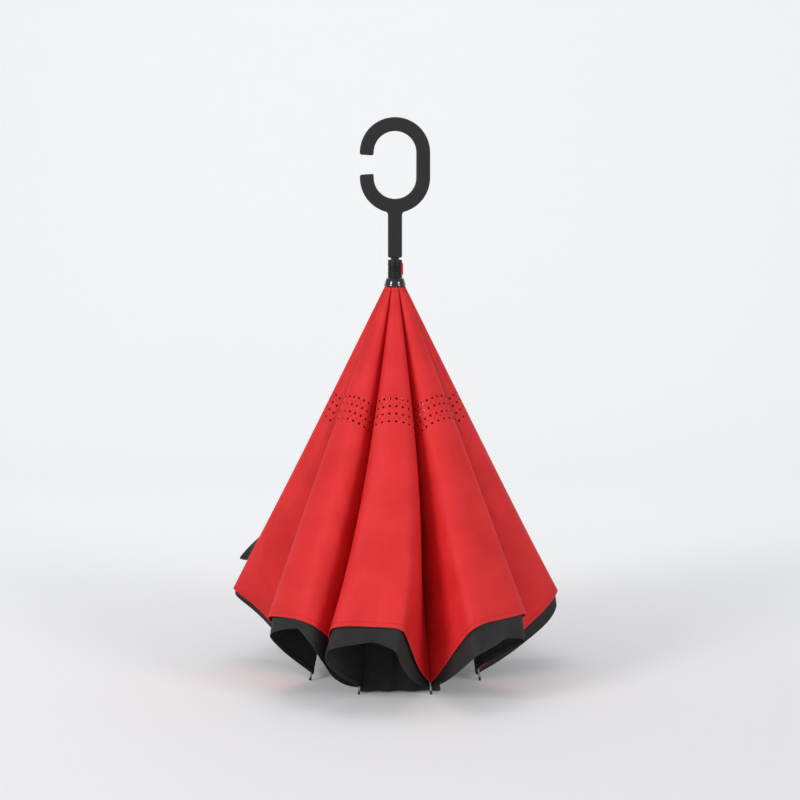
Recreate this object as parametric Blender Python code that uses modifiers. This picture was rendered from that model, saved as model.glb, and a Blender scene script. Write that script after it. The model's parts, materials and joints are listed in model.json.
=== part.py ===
"""Inverted umbrella with two layers of cloth, closed and standing on its rib tips. Metres, +Z up."""

import math

import bmesh
import bpy
from mathutils import Matrix, Vector

# Shared clearances and counts
RIB_COUNT = 8
CLEARANCE = 0.0003
OVERRUN = 0.004
ROUND_STEPS = 24
WIRE_SIDES = 8
EYE_SIDES = 10
HOLE_SIDES = 6
MERGE = 0.00001
BEVEL_ANGLE = math.radians(50)
SMOOTH_ANGLE = math.radians(35)
FLAT_ANGLE = math.radians(1)

# The hinge that the ribs fold on: the heights of the collar, grip and handle follow from it
RIB_HINGE_HEIGHT = 0.5595

# Open hook handle, which the hand or the forearm goes through
HOOK_OUTER_RADIUS = 0.0495
HOOK_BAND = 0.0195
HOOK_STRAIGHT = 0.035
HOOK_DEPTH = 0.021
HOOK_EDGE = 0.0042
MOUTH_GAP = 0.0282
MOUTH_DROP = 0.0028
STEM_WIDTH = 0.02
STEM_LENGTH = 0.063
STEM_GAP = 0.0034
STEM_FILLET = 0.005
HOOK_UPPER_STEPS = 16
HOOK_LOWER_STEPS = 7
HOOK_INNER_STEPS = 14
FILLET_STEPS = 3

# Shaft tube
SHAFT_RADIUS = 0.006
SHAFT_WALL = 0.0008
SHAFT_ENTRY = 0.052
SHAFT_PAST_CROWN = 0.016

# Catch window in the tube and the spring catch in it
CATCH_ABOVE_CROWN = 0.0968
CATCH_HEIGHT = 0.012
CATCH_THICKNESS = 0.0022
CATCH_NOSE = 0.0014
CATCH_TRAVEL = 0.0016
CATCH_DEPTH = 0.008

# Runner: ribbed grip, release button and the flared collar with its rib notches
GRIP_RADIUS = 0.0102
GRIP_HEIGHT = 0.0256
GRIP_EDGE = 0.0008
GRIP_NECK = 0.0026
GRIP_NECK_RADIUS = 0.0084
GRIP_RING_COUNT = 5
GRIP_RING_PITCH = 0.0018
GRIP_RING_DEPTH = 0.0004
GRIP_FLAT = 0.0086
BUTTON_HEIGHT = 0.017
BUTTON_WIDTH = 0.0075
BUTTON_PROUD = 0.0016
BUTTON_INNER = 0.0079
BUTTON_EDGE = 0.0006
BUTTON_GAP = 0.0004
BUTTON_TRAVEL = 0.0013
SPRING_WIRE = 0.00022
SPRING_HALF_WIDTH = 0.0024
SPRING_LENGTH = 0.013
SPRING_STAND = 0.0003
SPRING_STEPS = 4
COLLAR_RISE = 0.0033
COLLAR_HEIGHT = 0.0109
COLLAR_RADIUS = 0.0152
COLLAR_EDGE = 0.0012
COLLAR_NECK_RADIUS = 0.0112
FLARE_SHARES = (0.3, 0.5, 0.7)
NOTCH_RADIUS = 0.0117
NOTCH_DROP = 0.0078

# Crown at the lower end of the shaft, and the ferrule under it
CROWN_RADIUS = 0.0128
CROWN_RISE = 0.0068
CROWN_HEIGHT = 0.017
CROWN_EDGE = 0.0012
FERRULE_RADIUS = 0.0098
FERRULE_END_RADIUS = 0.0062
FERRULE_LENGTH = 0.0357
FERRULE_EDGE = 0.0012
FERRULE_STEPS = 20

# Hinge rings of wire that the ribs and the stretchers turn on
HINGE_RADIUS = 0.0105
RING_WIRE = 0.00045
RING_STEPS = 32
RING_SIDES = 5
GROOVE_MARGIN = 0.0003
SLOT_DEPTH = 0.0024

# Ribs
RIB_CLOSED = math.radians(12.25)
RIB_WIRE = 0.0016
RIB_EYE_RADIUS = 0.0015
RIB_EYE_WIDTH = 0.0018
RIB_EYE_HOLE = 0.0008
EYE_STEP = 0.0001
NECK_LENGTH = 0.0054
PIVOT_ALONG = 0.245
BOSS_RADIUS = 0.002
BOSS_WIDTH = 0.0038
TIP_BALL = 0.0024
TIP_FLAT = 0.0005
TIP_RINGS = 6

# Stretchers, each a tongue that widens into a fork round its rib
STRETCHER_LENGTH = 0.265
STRETCHER_DEPTH = 0.004
TONGUE_WIDTH = 0.003
TONGUE_LENGTH = 0.028
FORK_SLOT = 0.0044
FORK_BLADE = 0.0012
FORK_ROOT = 0.006
FORK_END = 0.0034
RIVET_RADIUS = 0.0017
EYE_MARGIN = 0.0006

# Red inner layer, which shows when the umbrella is closed
RED_TOP_GAP = 0.0008
RED_THICKNESS = 0.0006
RED_STAND = 0.0023
RIDGE_TOP_RADIUS = 0.0137
RIDGE_SLOPE = 0.4947
RED_RIB_LENGTH = 0.5575
RED_RIDGE_LENGTH = 0.5
SEAM_GAP = 0.0005
RIDGE_GAP = 0.0002
SCALLOP_POWER = 2.1
VALLEY_SHARE = 0.9
CROWN_SHARE = 0.56
RED_COLUMNS = 8
RED_ROWS = 2
SECTION_SAMPLES = 200

# Black outer layer, which is folded inside when the umbrella is closed
BLACK_THICKNESS = 0.0005
BLACK_UNDER_RIB = 0.0024
BLACK_BESIDE_RIB = 0.0024
BLACK_UNDER_RED = 0.004
BLACK_SEAM_GAP = 0.0004
BLACK_RIDGE_GAP = 0.0004
BLACK_RIB_LENGTH = 0.5665
BLACK_RIDGE_LENGTH = 0.5245
BLACK_COLUMNS = 6
BLACK_OUTER_ROWS = 2
BLACK_INNER_ROWS = 2
FUNNEL_RISE = 0.0023
FUNNEL_BOTTOM_RADIUS = 0.0139
FUNNEL_SLOPE = 0.4877
FUNNEL_STAND = 0.0026
FUNNEL_SPREAD = 0.005
FOLD_DROP = 0.022
FOLD_STEP = 0.002
FUNNEL_RIDGE_DROP = 0.034
OUTER_RIDGE_RISE = 0.038

# Closing strap on the left gore
STRAP_ABOVE_HEM = 0.086
STRAP_WIDTH = 0.018
STRAP_THICKNESS = 0.0012
STRAP_LENGTH = 0.05
STRAP_FLARE = 0.02
STRAP_POWER = 2.2
STRAP_STEPS = 6
STRAP_STAND = 0.0004
STRAP_ASIDE = 0.0006

# Sizes worked out from the ones above
SECTOR = 2 * math.pi / RIB_COUNT
HALF_SECTOR = SECTOR / 2
SHAFT_BORE = SHAFT_RADIUS + CLEARANCE
COLLAR_BOTTOM = RIB_HINGE_HEIGHT + COLLAR_RISE
COLLAR_TOP = COLLAR_BOTTOM + COLLAR_HEIGHT
NOTCH_BOTTOM = COLLAR_BOTTOM - NOTCH_DROP
GRIP_BOTTOM = COLLAR_TOP + CLEARANCE
GRIP_TOP = GRIP_BOTTOM + GRIP_HEIGHT
BUTTON_BOTTOM = GRIP_BOTTOM + (GRIP_HEIGHT - BUTTON_HEIGHT) / 2
STEM_BOTTOM = GRIP_TOP + STEM_GAP
SHAFT_TOP = STEM_BOTTOM + SHAFT_ENTRY
HOOK_INNER_RADIUS = HOOK_OUTER_RADIUS - HOOK_BAND
HOOK_LOWER = STEM_BOTTOM + STEM_LENGTH + HOOK_OUTER_RADIUS
HOOK_UPPER = HOOK_LOWER + HOOK_STRAIGHT
MOUTH_TOP = HOOK_UPPER - MOUTH_DROP
TIP_CENTRE_HEIGHT = TIP_BALL - TIP_FLAT
RIB_LENGTH = (RIB_HINGE_HEIGHT - TIP_CENTRE_HEIGHT) / math.cos(RIB_CLOSED)
STRETCHER_CLOSED = math.asin(PIVOT_ALONG * math.sin(RIB_CLOSED) / STRETCHER_LENGTH)
HINGE_DISTANCE = PIVOT_ALONG * math.cos(RIB_CLOSED) + STRETCHER_LENGTH * math.cos(STRETCHER_CLOSED)
CROWN_HINGE_HEIGHT = RIB_HINGE_HEIGHT - HINGE_DISTANCE
PIVOT_HEIGHT = RIB_HINGE_HEIGHT - PIVOT_ALONG * math.cos(RIB_CLOSED)
CROWN_TOP = CROWN_HINGE_HEIGHT + CROWN_RISE
CROWN_BOTTOM = CROWN_TOP - CROWN_HEIGHT
FERRULE_TOP = CROWN_BOTTOM - CLEARANCE
FERRULE_END = FERRULE_TOP - FERRULE_LENGTH
SHAFT_BOTTOM = CROWN_BOTTOM - SHAFT_PAST_CROWN
CATCH_LOW = CROWN_HINGE_HEIGHT + CATCH_ABOVE_CROWN
FORK_WIDTH = FORK_SLOT + 2 * FORK_BLADE
RED_TOP = COLLAR_BOTTOM - RED_TOP_GAP
FUNNEL_BOTTOM = CROWN_HINGE_HEIGHT + FUNNEL_RISE
FUNNEL_RIDGE_TOP = PIVOT_HEIGHT - FUNNEL_RIDGE_DROP
OUTER_RIDGE_TOP = PIVOT_HEIGHT + OUTER_RIDGE_RISE


# Helpers for collections, materials and meshes


def clear_scene():
    for obj in list(bpy.data.objects):
        bpy.data.objects.remove(obj, do_unlink=True)


def make_collection(name, hidden=False):
    collection = bpy.data.collections.new(name)
    bpy.context.scene.collection.children.link(collection)
    collection.hide_render = hidden
    return collection


def make_material(name, colour, roughness, metallic=0):
    material = bpy.data.materials.new(name)
    material.use_nodes = True
    shader = material.node_tree.nodes["Principled BSDF"]
    shader.inputs["Base Color"].default_value = (*colour, 1)
    shader.inputs["Roughness"].default_value = roughness
    shader.inputs["Metallic"].default_value = metallic
    material.diffuse_color = (*colour, 1)
    return material


def add_object(name, mesh, material=None, matrix=None):
    obj = bpy.data.objects.new(name, mesh)
    UMBRELLA.objects.link(obj)
    if material and not mesh.materials:
        mesh.materials.append(material)
    if matrix is not None:
        obj.matrix_world = matrix
    return obj


def add_cutter(name, mesh, matrix=None):
    obj = bpy.data.objects.new(name, mesh)
    CUTTERS.objects.link(obj)
    obj.hide_render = True
    obj.display_type = "WIRE"
    if matrix is not None:
        obj.matrix_world = matrix
    return obj


def to_mesh(name, shape):
    mesh = bpy.data.meshes.new(name)
    shape.to_mesh(mesh)
    shape.free()
    return mesh


def box_mesh(name, low, high):
    shape = bmesh.new()
    middle = (Vector(low) + Vector(high)) / 2
    size = Vector(high) - Vector(low)
    bmesh.ops.create_cube(shape, size=1, matrix=Matrix.Translation(middle) @ Matrix.Diagonal((*size, 1)))
    return to_mesh(name, shape)


def rod_mesh(name, radius, length, steps, matrix):
    shape = bmesh.new()
    bmesh.ops.create_cone(
        shape, cap_ends=True, segments=steps, radius1=radius, radius2=radius, depth=length, matrix=matrix
    )
    return to_mesh(name, shape)


def boolean(target, other, operation):
    modifier = target.modifiers.new(other.name, "BOOLEAN")
    modifier.operation = operation
    modifier.solver = "EXACT"
    modifier.object = other


def bevel(target, width):
    modifier = target.modifiers.new("Rounded edges", "BEVEL")
    modifier.width = width
    modifier.segments = 2
    modifier.limit_method = "ANGLE"
    modifier.angle_limit = BEVEL_ANGLE


def evaluated_mesh(obj, name):
    """The mesh of an object with its modifiers applied, for its repeated copies to share."""
    bpy.context.view_layer.update()
    graph = bpy.context.evaluated_depsgraph_get()
    mesh = bpy.data.meshes.new_from_object(obj.evaluated_get(graph))
    mesh.name = name
    return mesh


def round_shading(mesh):
    mesh.shade_smooth()
    mesh.set_sharp_from_angle(angle=SMOOTH_ANGLE)


def turned(name, profile, material, steps=ROUND_STEPS):
    """A ring turned about the shaft: its profile is a closed loop that runs down its outer side."""
    mesh = bpy.data.meshes.new(name)
    points = [(radius, 0, height) for radius, height in profile]
    edges = [(index, (index + 1) % len(points)) for index in range(len(points))]
    mesh.from_pydata(points, edges, [])
    obj = add_object(name, mesh, material)
    screw = obj.modifiers.new("Turned", "SCREW")
    screw.steps = steps
    screw.render_steps = steps
    screw.use_merge_vertices = True
    screw.merge_threshold = MERGE
    screw.use_smooth_shade = True
    return obj


def around(angle):
    return Matrix.Rotation(angle, 4, "Z")


def across():
    """Turns a rod from upright to tangential."""
    return Matrix.Rotation(math.pi / 2, 4, "X")


def rib_angle(index):
    return HALF_SECTOR + index * SECTOR


# Handle


def arc(centre, radius, start, end, steps):
    """Points of an arc in the plane of the hook, both ends included."""
    points = []
    for index in range(steps + 1):
        angle = start + (end - start) * index / steps
        points.append((centre[0] + radius * math.cos(angle), centre[1] + radius * math.sin(angle)))
    return points


def hook_outline():
    half_stem = STEM_WIDTH / 2
    fillet_x = half_stem + STEM_FILLET
    fillet_reach = HOOK_OUTER_RADIUS + STEM_FILLET
    fillet_z = HOOK_LOWER - math.sqrt(fillet_reach**2 - fillet_x**2)
    meet = math.acos(fillet_x / fillet_reach)
    mouth_low = MOUTH_TOP - MOUTH_GAP
    points = [(-HOOK_OUTER_RADIUS, MOUTH_TOP)]
    points += arc((0, HOOK_UPPER), HOOK_OUTER_RADIUS, math.pi, 0, HOOK_UPPER_STEPS)
    points += arc((0, HOOK_LOWER), HOOK_OUTER_RADIUS, 0, -meet, HOOK_LOWER_STEPS)
    points += arc((fillet_x, fillet_z), STEM_FILLET, math.pi - meet, math.pi, FILLET_STEPS)[1:]
    points += [(half_stem, STEM_BOTTOM), (-half_stem, STEM_BOTTOM)]
    points += arc((-fillet_x, fillet_z), STEM_FILLET, 0, meet, FILLET_STEPS)[:-1]
    points += arc((0, HOOK_LOWER), HOOK_OUTER_RADIUS, meet - math.pi, -math.pi, HOOK_LOWER_STEPS)
    points += [(-HOOK_OUTER_RADIUS, mouth_low), (-HOOK_INNER_RADIUS, mouth_low)]
    points += arc((0, HOOK_LOWER), HOOK_INNER_RADIUS, -math.pi, 0, HOOK_INNER_STEPS)
    points += arc((0, HOOK_UPPER), HOOK_INNER_RADIUS, 0, math.pi, HOOK_INNER_STEPS)
    points += [(-HOOK_INNER_RADIUS, MOUTH_TOP)]
    return points


def make_handle():
    curve = bpy.data.curves.new("hook outline", "CURVE")
    curve.dimensions = "2D"
    curve.fill_mode = "BOTH"
    curve.extrude = HOOK_DEPTH / 2
    outline = hook_outline()
    spline = curve.splines.new("POLY")
    spline.points.add(len(outline) - 1)
    for point, (x, z) in zip(spline.points, outline):
        point.co = (x, z, 0, 1)
    spline.use_cyclic_u = True
    flat = add_object("hook outline", curve)
    flat.matrix_world = Matrix.Rotation(math.pi / 2, 4, "X")
    mesh = evaluated_mesh(flat, "c_handle")
    shape = bmesh.new()
    shape.from_mesh(mesh)
    bmesh.ops.remove_doubles(shape, verts=shape.verts, dist=MERGE)
    bmesh.ops.dissolve_limit(
        shape, angle_limit=FLAT_ANGLE, verts=shape.verts, edges=shape.edges, delimit={"NORMAL"}
    )
    bmesh.ops.recalc_face_normals(shape, faces=shape.faces)
    shape.to_mesh(mesh)
    shape.free()
    handle = add_object("c_handle", mesh, SOFT_BLACK, flat.matrix_world)
    bpy.data.objects.remove(flat, do_unlink=True)
    bevel(handle, HOOK_EDGE)
    bore_depth = SHAFT_ENTRY + CLEARANCE + OVERRUN
    middle = STEM_BOTTOM - OVERRUN + bore_depth / 2
    bore = rod_mesh("handle bore", SHAFT_BORE, bore_depth, ROUND_STEPS, Matrix.Translation((0, 0, middle)))
    boolean(handle, add_cutter("handle bore", bore), "DIFFERENCE")
    round_shading(mesh)


# Shaft, its catch and the ferrule


def make_shaft():
    inner = SHAFT_RADIUS - SHAFT_WALL
    profile = [
        (SHAFT_RADIUS, SHAFT_TOP),
        (SHAFT_RADIUS, SHAFT_BOTTOM),
        (inner, SHAFT_BOTTOM),
        (inner, SHAFT_TOP),
    ]
    shaft = turned("shaft_tube", profile, BLACK_STEEL)
    half = CATCH_THICKNESS / 2 + CLEARANCE
    low = (0, -half, CATCH_LOW - CLEARANCE)
    high = (SHAFT_RADIUS + OVERRUN, half, CATCH_LOW + CATCH_HEIGHT + CLEARANCE)
    boolean(shaft, add_cutter("catch window", box_mesh("catch window", low, high)), "DIFFERENCE")


def make_catch():
    """A plate inside the tube with a nose that stands out: flat below, sloped above."""
    nose = SHAFT_RADIUS + CATCH_NOSE
    mesh = box_mesh(
        "shaft_catch",
        (nose - CATCH_DEPTH, -CATCH_THICKNESS / 2, CATCH_LOW),
        (nose, CATCH_THICKNESS / 2, CATCH_LOW + CATCH_HEIGHT),
    )
    shape = bmesh.new()
    shape.from_mesh(mesh)
    for vertex in shape.verts:
        if vertex.co.x > SHAFT_RADIUS and vertex.co.z > CATCH_LOW + CATCH_HEIGHT / 2:
            vertex.co.x = SHAFT_RADIUS
    shape.to_mesh(mesh)
    shape.free()
    add_object("shaft_catch", mesh, STEEL)


def make_ferrule():
    floor = SHAFT_BOTTOM - CLEARANCE
    profile = [
        (FERRULE_RADIUS - FERRULE_EDGE, FERRULE_TOP),
        (FERRULE_RADIUS, FERRULE_TOP - FERRULE_EDGE),
        (FERRULE_RADIUS, floor),
        (FERRULE_END_RADIUS, FERRULE_END + FERRULE_EDGE),
        (FERRULE_END_RADIUS - FERRULE_EDGE, FERRULE_END),
        (SHAFT_WALL, FERRULE_END),
        (SHAFT_WALL, floor),
        (SHAFT_BORE, floor),
        (SHAFT_BORE, FERRULE_TOP),
    ]
    turned("ferrule", profile, GLOSS_BLACK, steps=FERRULE_STEPS)


# Runner


def make_grip():
    inner = SHAFT_BORE
    ring_low = GRIP_BOTTOM + GRIP_HEIGHT / 2 - GRIP_RING_COUNT * GRIP_RING_PITCH / 2
    top = GRIP_TOP
    profile = [(GRIP_NECK_RADIUS - GRIP_EDGE, top), (GRIP_NECK_RADIUS, top - GRIP_EDGE)]
    profile += [(GRIP_NECK_RADIUS, top - GRIP_NECK + GRIP_EDGE), (GRIP_RADIUS, top - GRIP_NECK - GRIP_EDGE)]
    for index in reversed(range(GRIP_RING_COUNT)):
        start = ring_low + index * GRIP_RING_PITCH
        profile.append((GRIP_RADIUS, start + GRIP_RING_PITCH))
        profile.append((GRIP_RADIUS - GRIP_RING_DEPTH, start + GRIP_RING_PITCH / 2))
    profile += [(GRIP_RADIUS, ring_low), (GRIP_RADIUS, GRIP_BOTTOM), (inner, GRIP_BOTTOM), (inner, top)]
    grip = turned("runner_grip", profile, GLOSS_BLACK)
    low = BUTTON_BOTTOM - BUTTON_GAP
    high = BUTTON_BOTTOM + BUTTON_HEIGHT + BUTTON_GAP
    outside = GRIP_RADIUS + OVERRUN
    flat = box_mesh("button flat", (GRIP_FLAT, -outside, low), (outside, outside, high))
    half = BUTTON_WIDTH / 2 + BUTTON_GAP
    window = box_mesh("button window", (0, -half, low), (outside, half, high))
    boolean(grip, add_cutter("button flat", flat), "DIFFERENCE")
    boolean(grip, add_cutter("button window", window), "DIFFERENCE")
    boolean(grip, keyway_cutter(), "DIFFERENCE")


def keyway_cutter():
    """The groove in the runner's bore that the catch's nose passes along."""
    half = CATCH_THICKNESS / 2 + CLEARANCE
    deep = SHAFT_RADIUS + CATCH_NOSE + CLEARANCE
    name = "catch keyway"
    if name in bpy.data.objects:
        return bpy.data.objects[name]
    low = (0, -half, NOTCH_BOTTOM - OVERRUN)
    high = (deep, half, GRIP_TOP + OVERRUN)
    return add_cutter(name, box_mesh(name, low, high))


def make_button():
    outer = GRIP_RADIUS + BUTTON_PROUD
    mesh = box_mesh(
        "release_button",
        (BUTTON_INNER, -BUTTON_WIDTH / 2, BUTTON_BOTTOM),
        (outer, BUTTON_WIDTH / 2, BUTTON_BOTTOM + BUTTON_HEIGHT),
    )
    bevel(add_object("release_button", mesh, RED_PLASTIC), BUTTON_EDGE)


def make_button_spring():
    """A bowed hairpin of wire between the shaft and the button."""
    middle = BUTTON_BOTTOM + BUTTON_HEIGHT / 2
    near = SHAFT_RADIUS + SPRING_WIRE + SPRING_STAND
    far = BUTTON_INNER - SPRING_WIRE - SPRING_STAND
    leg = []
    for index in range(SPRING_STEPS + 1):
        share = index / SPRING_STEPS
        bow = math.sin(math.pi * share / 2)
        leg.append((near + (far - near) * bow, SPRING_HALF_WIDTH, middle + SPRING_LENGTH * (share - 1 / 2)))
    route = leg + [(x, -y, z) for x, y, z in reversed(leg)]
    curve = bpy.data.curves.new("button_spring", "CURVE")
    curve.dimensions = "3D"
    curve.bevel_depth = SPRING_WIRE
    curve.bevel_resolution = 1
    curve.use_fill_caps = True
    spline = curve.splines.new("POLY")
    spline.points.add(len(route) - 1)
    for point, place in zip(spline.points, route):
        point.co = (*place, 1)
    add_object("button_spring", curve, STEEL)


def hinge_cutters(name, height, low, high, slot_width):
    """The groove for a hinge ring and the slots for the eyes on it."""
    shape = bmesh.new()
    outer = CROWN_RADIUS + OVERRUN
    slot_inner = HINGE_RADIUS - SLOT_DEPTH
    for index in range(RIB_COUNT):
        size = Vector((outer - slot_inner, slot_width, high - low))
        middle = Vector(((outer + slot_inner) / 2, 0, (low + high) / 2))
        place = around(rib_angle(index)) @ Matrix.Translation(middle) @ Matrix.Diagonal((*size, 1))
        bmesh.ops.create_cube(shape, size=1, matrix=place)
    slots = add_cutter(f"{name} slots", to_mesh(f"{name} slots", shape))
    half = RING_WIRE + GROOVE_MARGIN
    bottom = HINGE_RADIUS - half
    profile = [
        (outer, height + half),
        (outer, height - half),
        (bottom, height - half),
        (bottom, height + half),
    ]
    groove = turned(f"{name} groove", profile, None)
    UMBRELLA.objects.unlink(groove)
    CUTTERS.objects.link(groove)
    groove.hide_render = True
    groove.display_type = "WIRE"
    return slots, groove


def make_notch():
    """The flared collar, and the slotted ring under it that holds the ribs."""
    flare = COLLAR_RADIUS - COLLAR_NECK_RADIUS
    drop = COLLAR_TOP - COLLAR_BOTTOM
    profile = [(COLLAR_NECK_RADIUS - COLLAR_EDGE, COLLAR_TOP), (COLLAR_NECK_RADIUS, COLLAR_TOP - COLLAR_EDGE)]
    for share in FLARE_SHARES:
        profile.append((COLLAR_NECK_RADIUS + flare * share**2, COLLAR_TOP - drop * share))
    profile += [
        (COLLAR_RADIUS, COLLAR_BOTTOM + COLLAR_EDGE),
        (COLLAR_RADIUS - COLLAR_EDGE / 2, COLLAR_BOTTOM),
        (NOTCH_RADIUS, COLLAR_BOTTOM),
        (NOTCH_RADIUS, NOTCH_BOTTOM),
        (SHAFT_BORE, NOTCH_BOTTOM),
        (SHAFT_BORE, COLLAR_TOP),
    ]
    notch = turned("runner_notch", profile, GLOSS_BLACK)
    low = NOTCH_BOTTOM - OVERRUN
    high = COLLAR_BOTTOM
    width = RIB_EYE_WIDTH + 2 * EYE_MARGIN
    for cutter in hinge_cutters("notch", RIB_HINGE_HEIGHT, low, high, width):
        boolean(notch, cutter, "DIFFERENCE")
    boolean(notch, keyway_cutter(), "DIFFERENCE")


def make_crown():
    profile = [
        (CROWN_RADIUS - CROWN_EDGE, CROWN_TOP),
        (CROWN_RADIUS, CROWN_TOP - CROWN_EDGE),
        (CROWN_RADIUS, CROWN_BOTTOM + CROWN_EDGE),
        (CROWN_RADIUS - CROWN_EDGE, CROWN_BOTTOM),
        (SHAFT_BORE, CROWN_BOTTOM),
        (SHAFT_BORE, CROWN_TOP),
    ]
    crown = turned("crown_notch", profile, GLOSS_BLACK)
    low = CROWN_HINGE_HEIGHT - SLOT_DEPTH
    high = CROWN_TOP + OVERRUN
    width = TONGUE_WIDTH + 2 * (EYE_STEP + CLEARANCE)
    for cutter in hinge_cutters("crown", CROWN_HINGE_HEIGHT, low, high, width):
        boolean(crown, cutter, "DIFFERENCE")


def make_ring(name, height):
    bpy.ops.mesh.primitive_torus_add(
        major_radius=HINGE_RADIUS,
        minor_radius=RING_WIRE,
        major_segments=RING_STEPS,
        minor_segments=RING_SIDES,
        location=(0, 0, height),
    )
    ring = bpy.context.object
    ring.name = name
    for collection in list(ring.users_collection):
        collection.objects.unlink(ring)
    UMBRELLA.objects.link(ring)
    ring.data.materials.append(STEEL)
    ring.data.shade_smooth()


# Ribs and stretchers


def rib_mesh():
    """A rib along -Z from its hinge: eye, wire, pivot boss and ball tip with a flat foot."""
    wire_top = -NECK_LENGTH
    wire_length = RIB_LENGTH + wire_top
    wire_place = Matrix.Translation((0, 0, wire_top - wire_length / 2))
    wire = rod_mesh("wire", RIB_WIRE, wire_length, WIRE_SIDES, wire_place)
    rib = add_object("rib pattern", wire, STEEL)
    neck = RIB_EYE_RADIUS - EYE_STEP
    neck_half = RIB_EYE_WIDTH / 2 - EYE_STEP
    eye_neck = box_mesh("eye neck", (-neck, -neck_half, -NECK_LENGTH - RIB_WIRE), (neck, neck_half, 0))
    eye = rod_mesh("eye", RIB_EYE_RADIUS, RIB_EYE_WIDTH, EYE_SIDES, across())
    hole = rod_mesh("eye hole", RIB_EYE_HOLE, RIB_EYE_WIDTH + OVERRUN, HOLE_SIDES, across())
    boss_place = Matrix.Translation((0, 0, -PIVOT_ALONG)) @ across()
    boss = rod_mesh("boss", BOSS_RADIUS, BOSS_WIDTH, EYE_SIDES, boss_place)
    ball = bmesh.new()
    tip = Matrix.Translation((0, 0, -RIB_LENGTH))
    bmesh.ops.create_uvsphere(
        ball, u_segments=WIRE_SIDES, v_segments=TIP_RINGS, radius=TIP_BALL, matrix=tip
    )
    for name, mesh in (("rib eye neck", eye_neck), ("rib eye", eye), ("rib boss", boss)):
        boolean(rib, add_cutter(name, mesh), "UNION")
    boolean(rib, add_cutter("rib ball", to_mesh("rib ball", ball)), "UNION")
    boolean(rib, add_cutter("rib eye hole", hole), "DIFFERENCE")
    mesh = evaluated_mesh(rib, "rib")
    bpy.data.objects.remove(rib, do_unlink=True)
    shape = bmesh.new()
    shape.from_mesh(mesh)
    down = Vector((-math.sin(RIB_CLOSED), 0, -math.cos(RIB_CLOSED)))
    foot = Vector((0, 0, -RIB_LENGTH)) + down * (TIP_BALL - TIP_FLAT)
    everything = shape.verts[:] + shape.edges[:] + shape.faces[:]
    cut = bmesh.ops.bisect_plane(shape, geom=everything, plane_co=foot, plane_no=down, clear_outer=True)
    rim = [item for item in cut["geom_cut"] if isinstance(item, bmesh.types.BMEdge)]
    bmesh.ops.holes_fill(shape, edges=rim)
    shape.to_mesh(mesh)
    shape.free()
    round_shading(mesh)
    return mesh


def stretcher_mesh():
    """A stretcher along +Z from its hinge: an eye, a tongue, and a fork with riveted blades."""
    deep = STRETCHER_DEPTH / 2
    slim = deep - EYE_STEP
    tongue = box_mesh("tongue", (-slim, -TONGUE_WIDTH / 2, 0), (slim, TONGUE_WIDTH / 2, TONGUE_LENGTH))
    body = add_object("stretcher pattern", tongue, STEEL)
    fork = box_mesh(
        "fork",
        (-deep, -FORK_WIDTH / 2, TONGUE_LENGTH - FORK_ROOT),
        (deep, FORK_WIDTH / 2, STRETCHER_LENGTH + FORK_END),
    )
    slot = box_mesh(
        "slot",
        (-deep - OVERRUN, -FORK_SLOT / 2, TONGUE_LENGTH),
        (deep + OVERRUN, FORK_SLOT / 2, STRETCHER_LENGTH + FORK_END + OVERRUN),
    )
    eye = rod_mesh("stretcher eye", deep, TONGUE_WIDTH + 2 * EYE_STEP, EYE_SIDES, across())
    hole = rod_mesh("stretcher eye hole", RIB_EYE_HOLE, TONGUE_WIDTH + OVERRUN, HOLE_SIDES, across())
    rivet_width = FORK_WIDTH + FORK_BLADE
    rivet_place = Matrix.Translation((0, 0, STRETCHER_LENGTH)) @ across()
    rivet = rod_mesh("rivet", RIVET_RADIUS, rivet_width, EYE_SIDES, rivet_place)
    boolean(body, add_cutter("stretcher fork", fork), "UNION")
    boolean(body, add_cutter("stretcher rivet", rivet), "UNION")
    boolean(body, add_cutter("stretcher slot", slot), "DIFFERENCE")
    boolean(body, add_cutter("stretcher eye", eye), "UNION")
    boolean(body, add_cutter("stretcher eye hole", hole), "DIFFERENCE")
    mesh = evaluated_mesh(body, "stretcher")
    bpy.data.objects.remove(body, do_unlink=True)
    round_shading(mesh)
    return mesh


def make_frame():
    rib = rib_mesh()
    stretcher = stretcher_mesh()
    for index in range(RIB_COUNT):
        turn = around(rib_angle(index))
        upper = turn @ Matrix.Translation((HINGE_RADIUS, 0, RIB_HINGE_HEIGHT))
        lower = turn @ Matrix.Translation((HINGE_RADIUS, 0, CROWN_HINGE_HEIGHT))
        add_object(f"rib_{index + 1}", rib, STEEL, upper @ Matrix.Rotation(-RIB_CLOSED, 4, "Y"))
        lean = Matrix.Rotation(STRETCHER_CLOSED, 4, "Y")
        add_object(f"stretcher_{index + 1}", stretcher, STEEL, lower @ lean)


# Cloth


def fold_point(start, beside, ridge_radius, share, ridge_gap=RIDGE_GAP):
    """A point of half a gore's section in its rib's frame, as (outward, sideways).

    The cloth leaves the rib straight outward and meets the middle of the gore squarely.
    """
    outward = Vector((math.cos(HALF_SECTOR), math.sin(HALF_SECTOR)))
    sideways = Vector((-math.sin(HALF_SECTOR), math.cos(HALF_SECTOR)))
    first = Vector((start, beside))
    last = outward * ridge_radius - sideways * ridge_gap
    leave = first + Vector((VALLEY_SHARE * (ridge_radius - start), 0))
    meet = last - sideways * (CROWN_SHARE * ridge_radius * math.sin(HALF_SECTOR))
    rest = 1 - share
    point = first * rest**3 + leave * (3 * rest**2 * share) + meet * (3 * rest * share**2)
    return point + last * share**3


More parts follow.
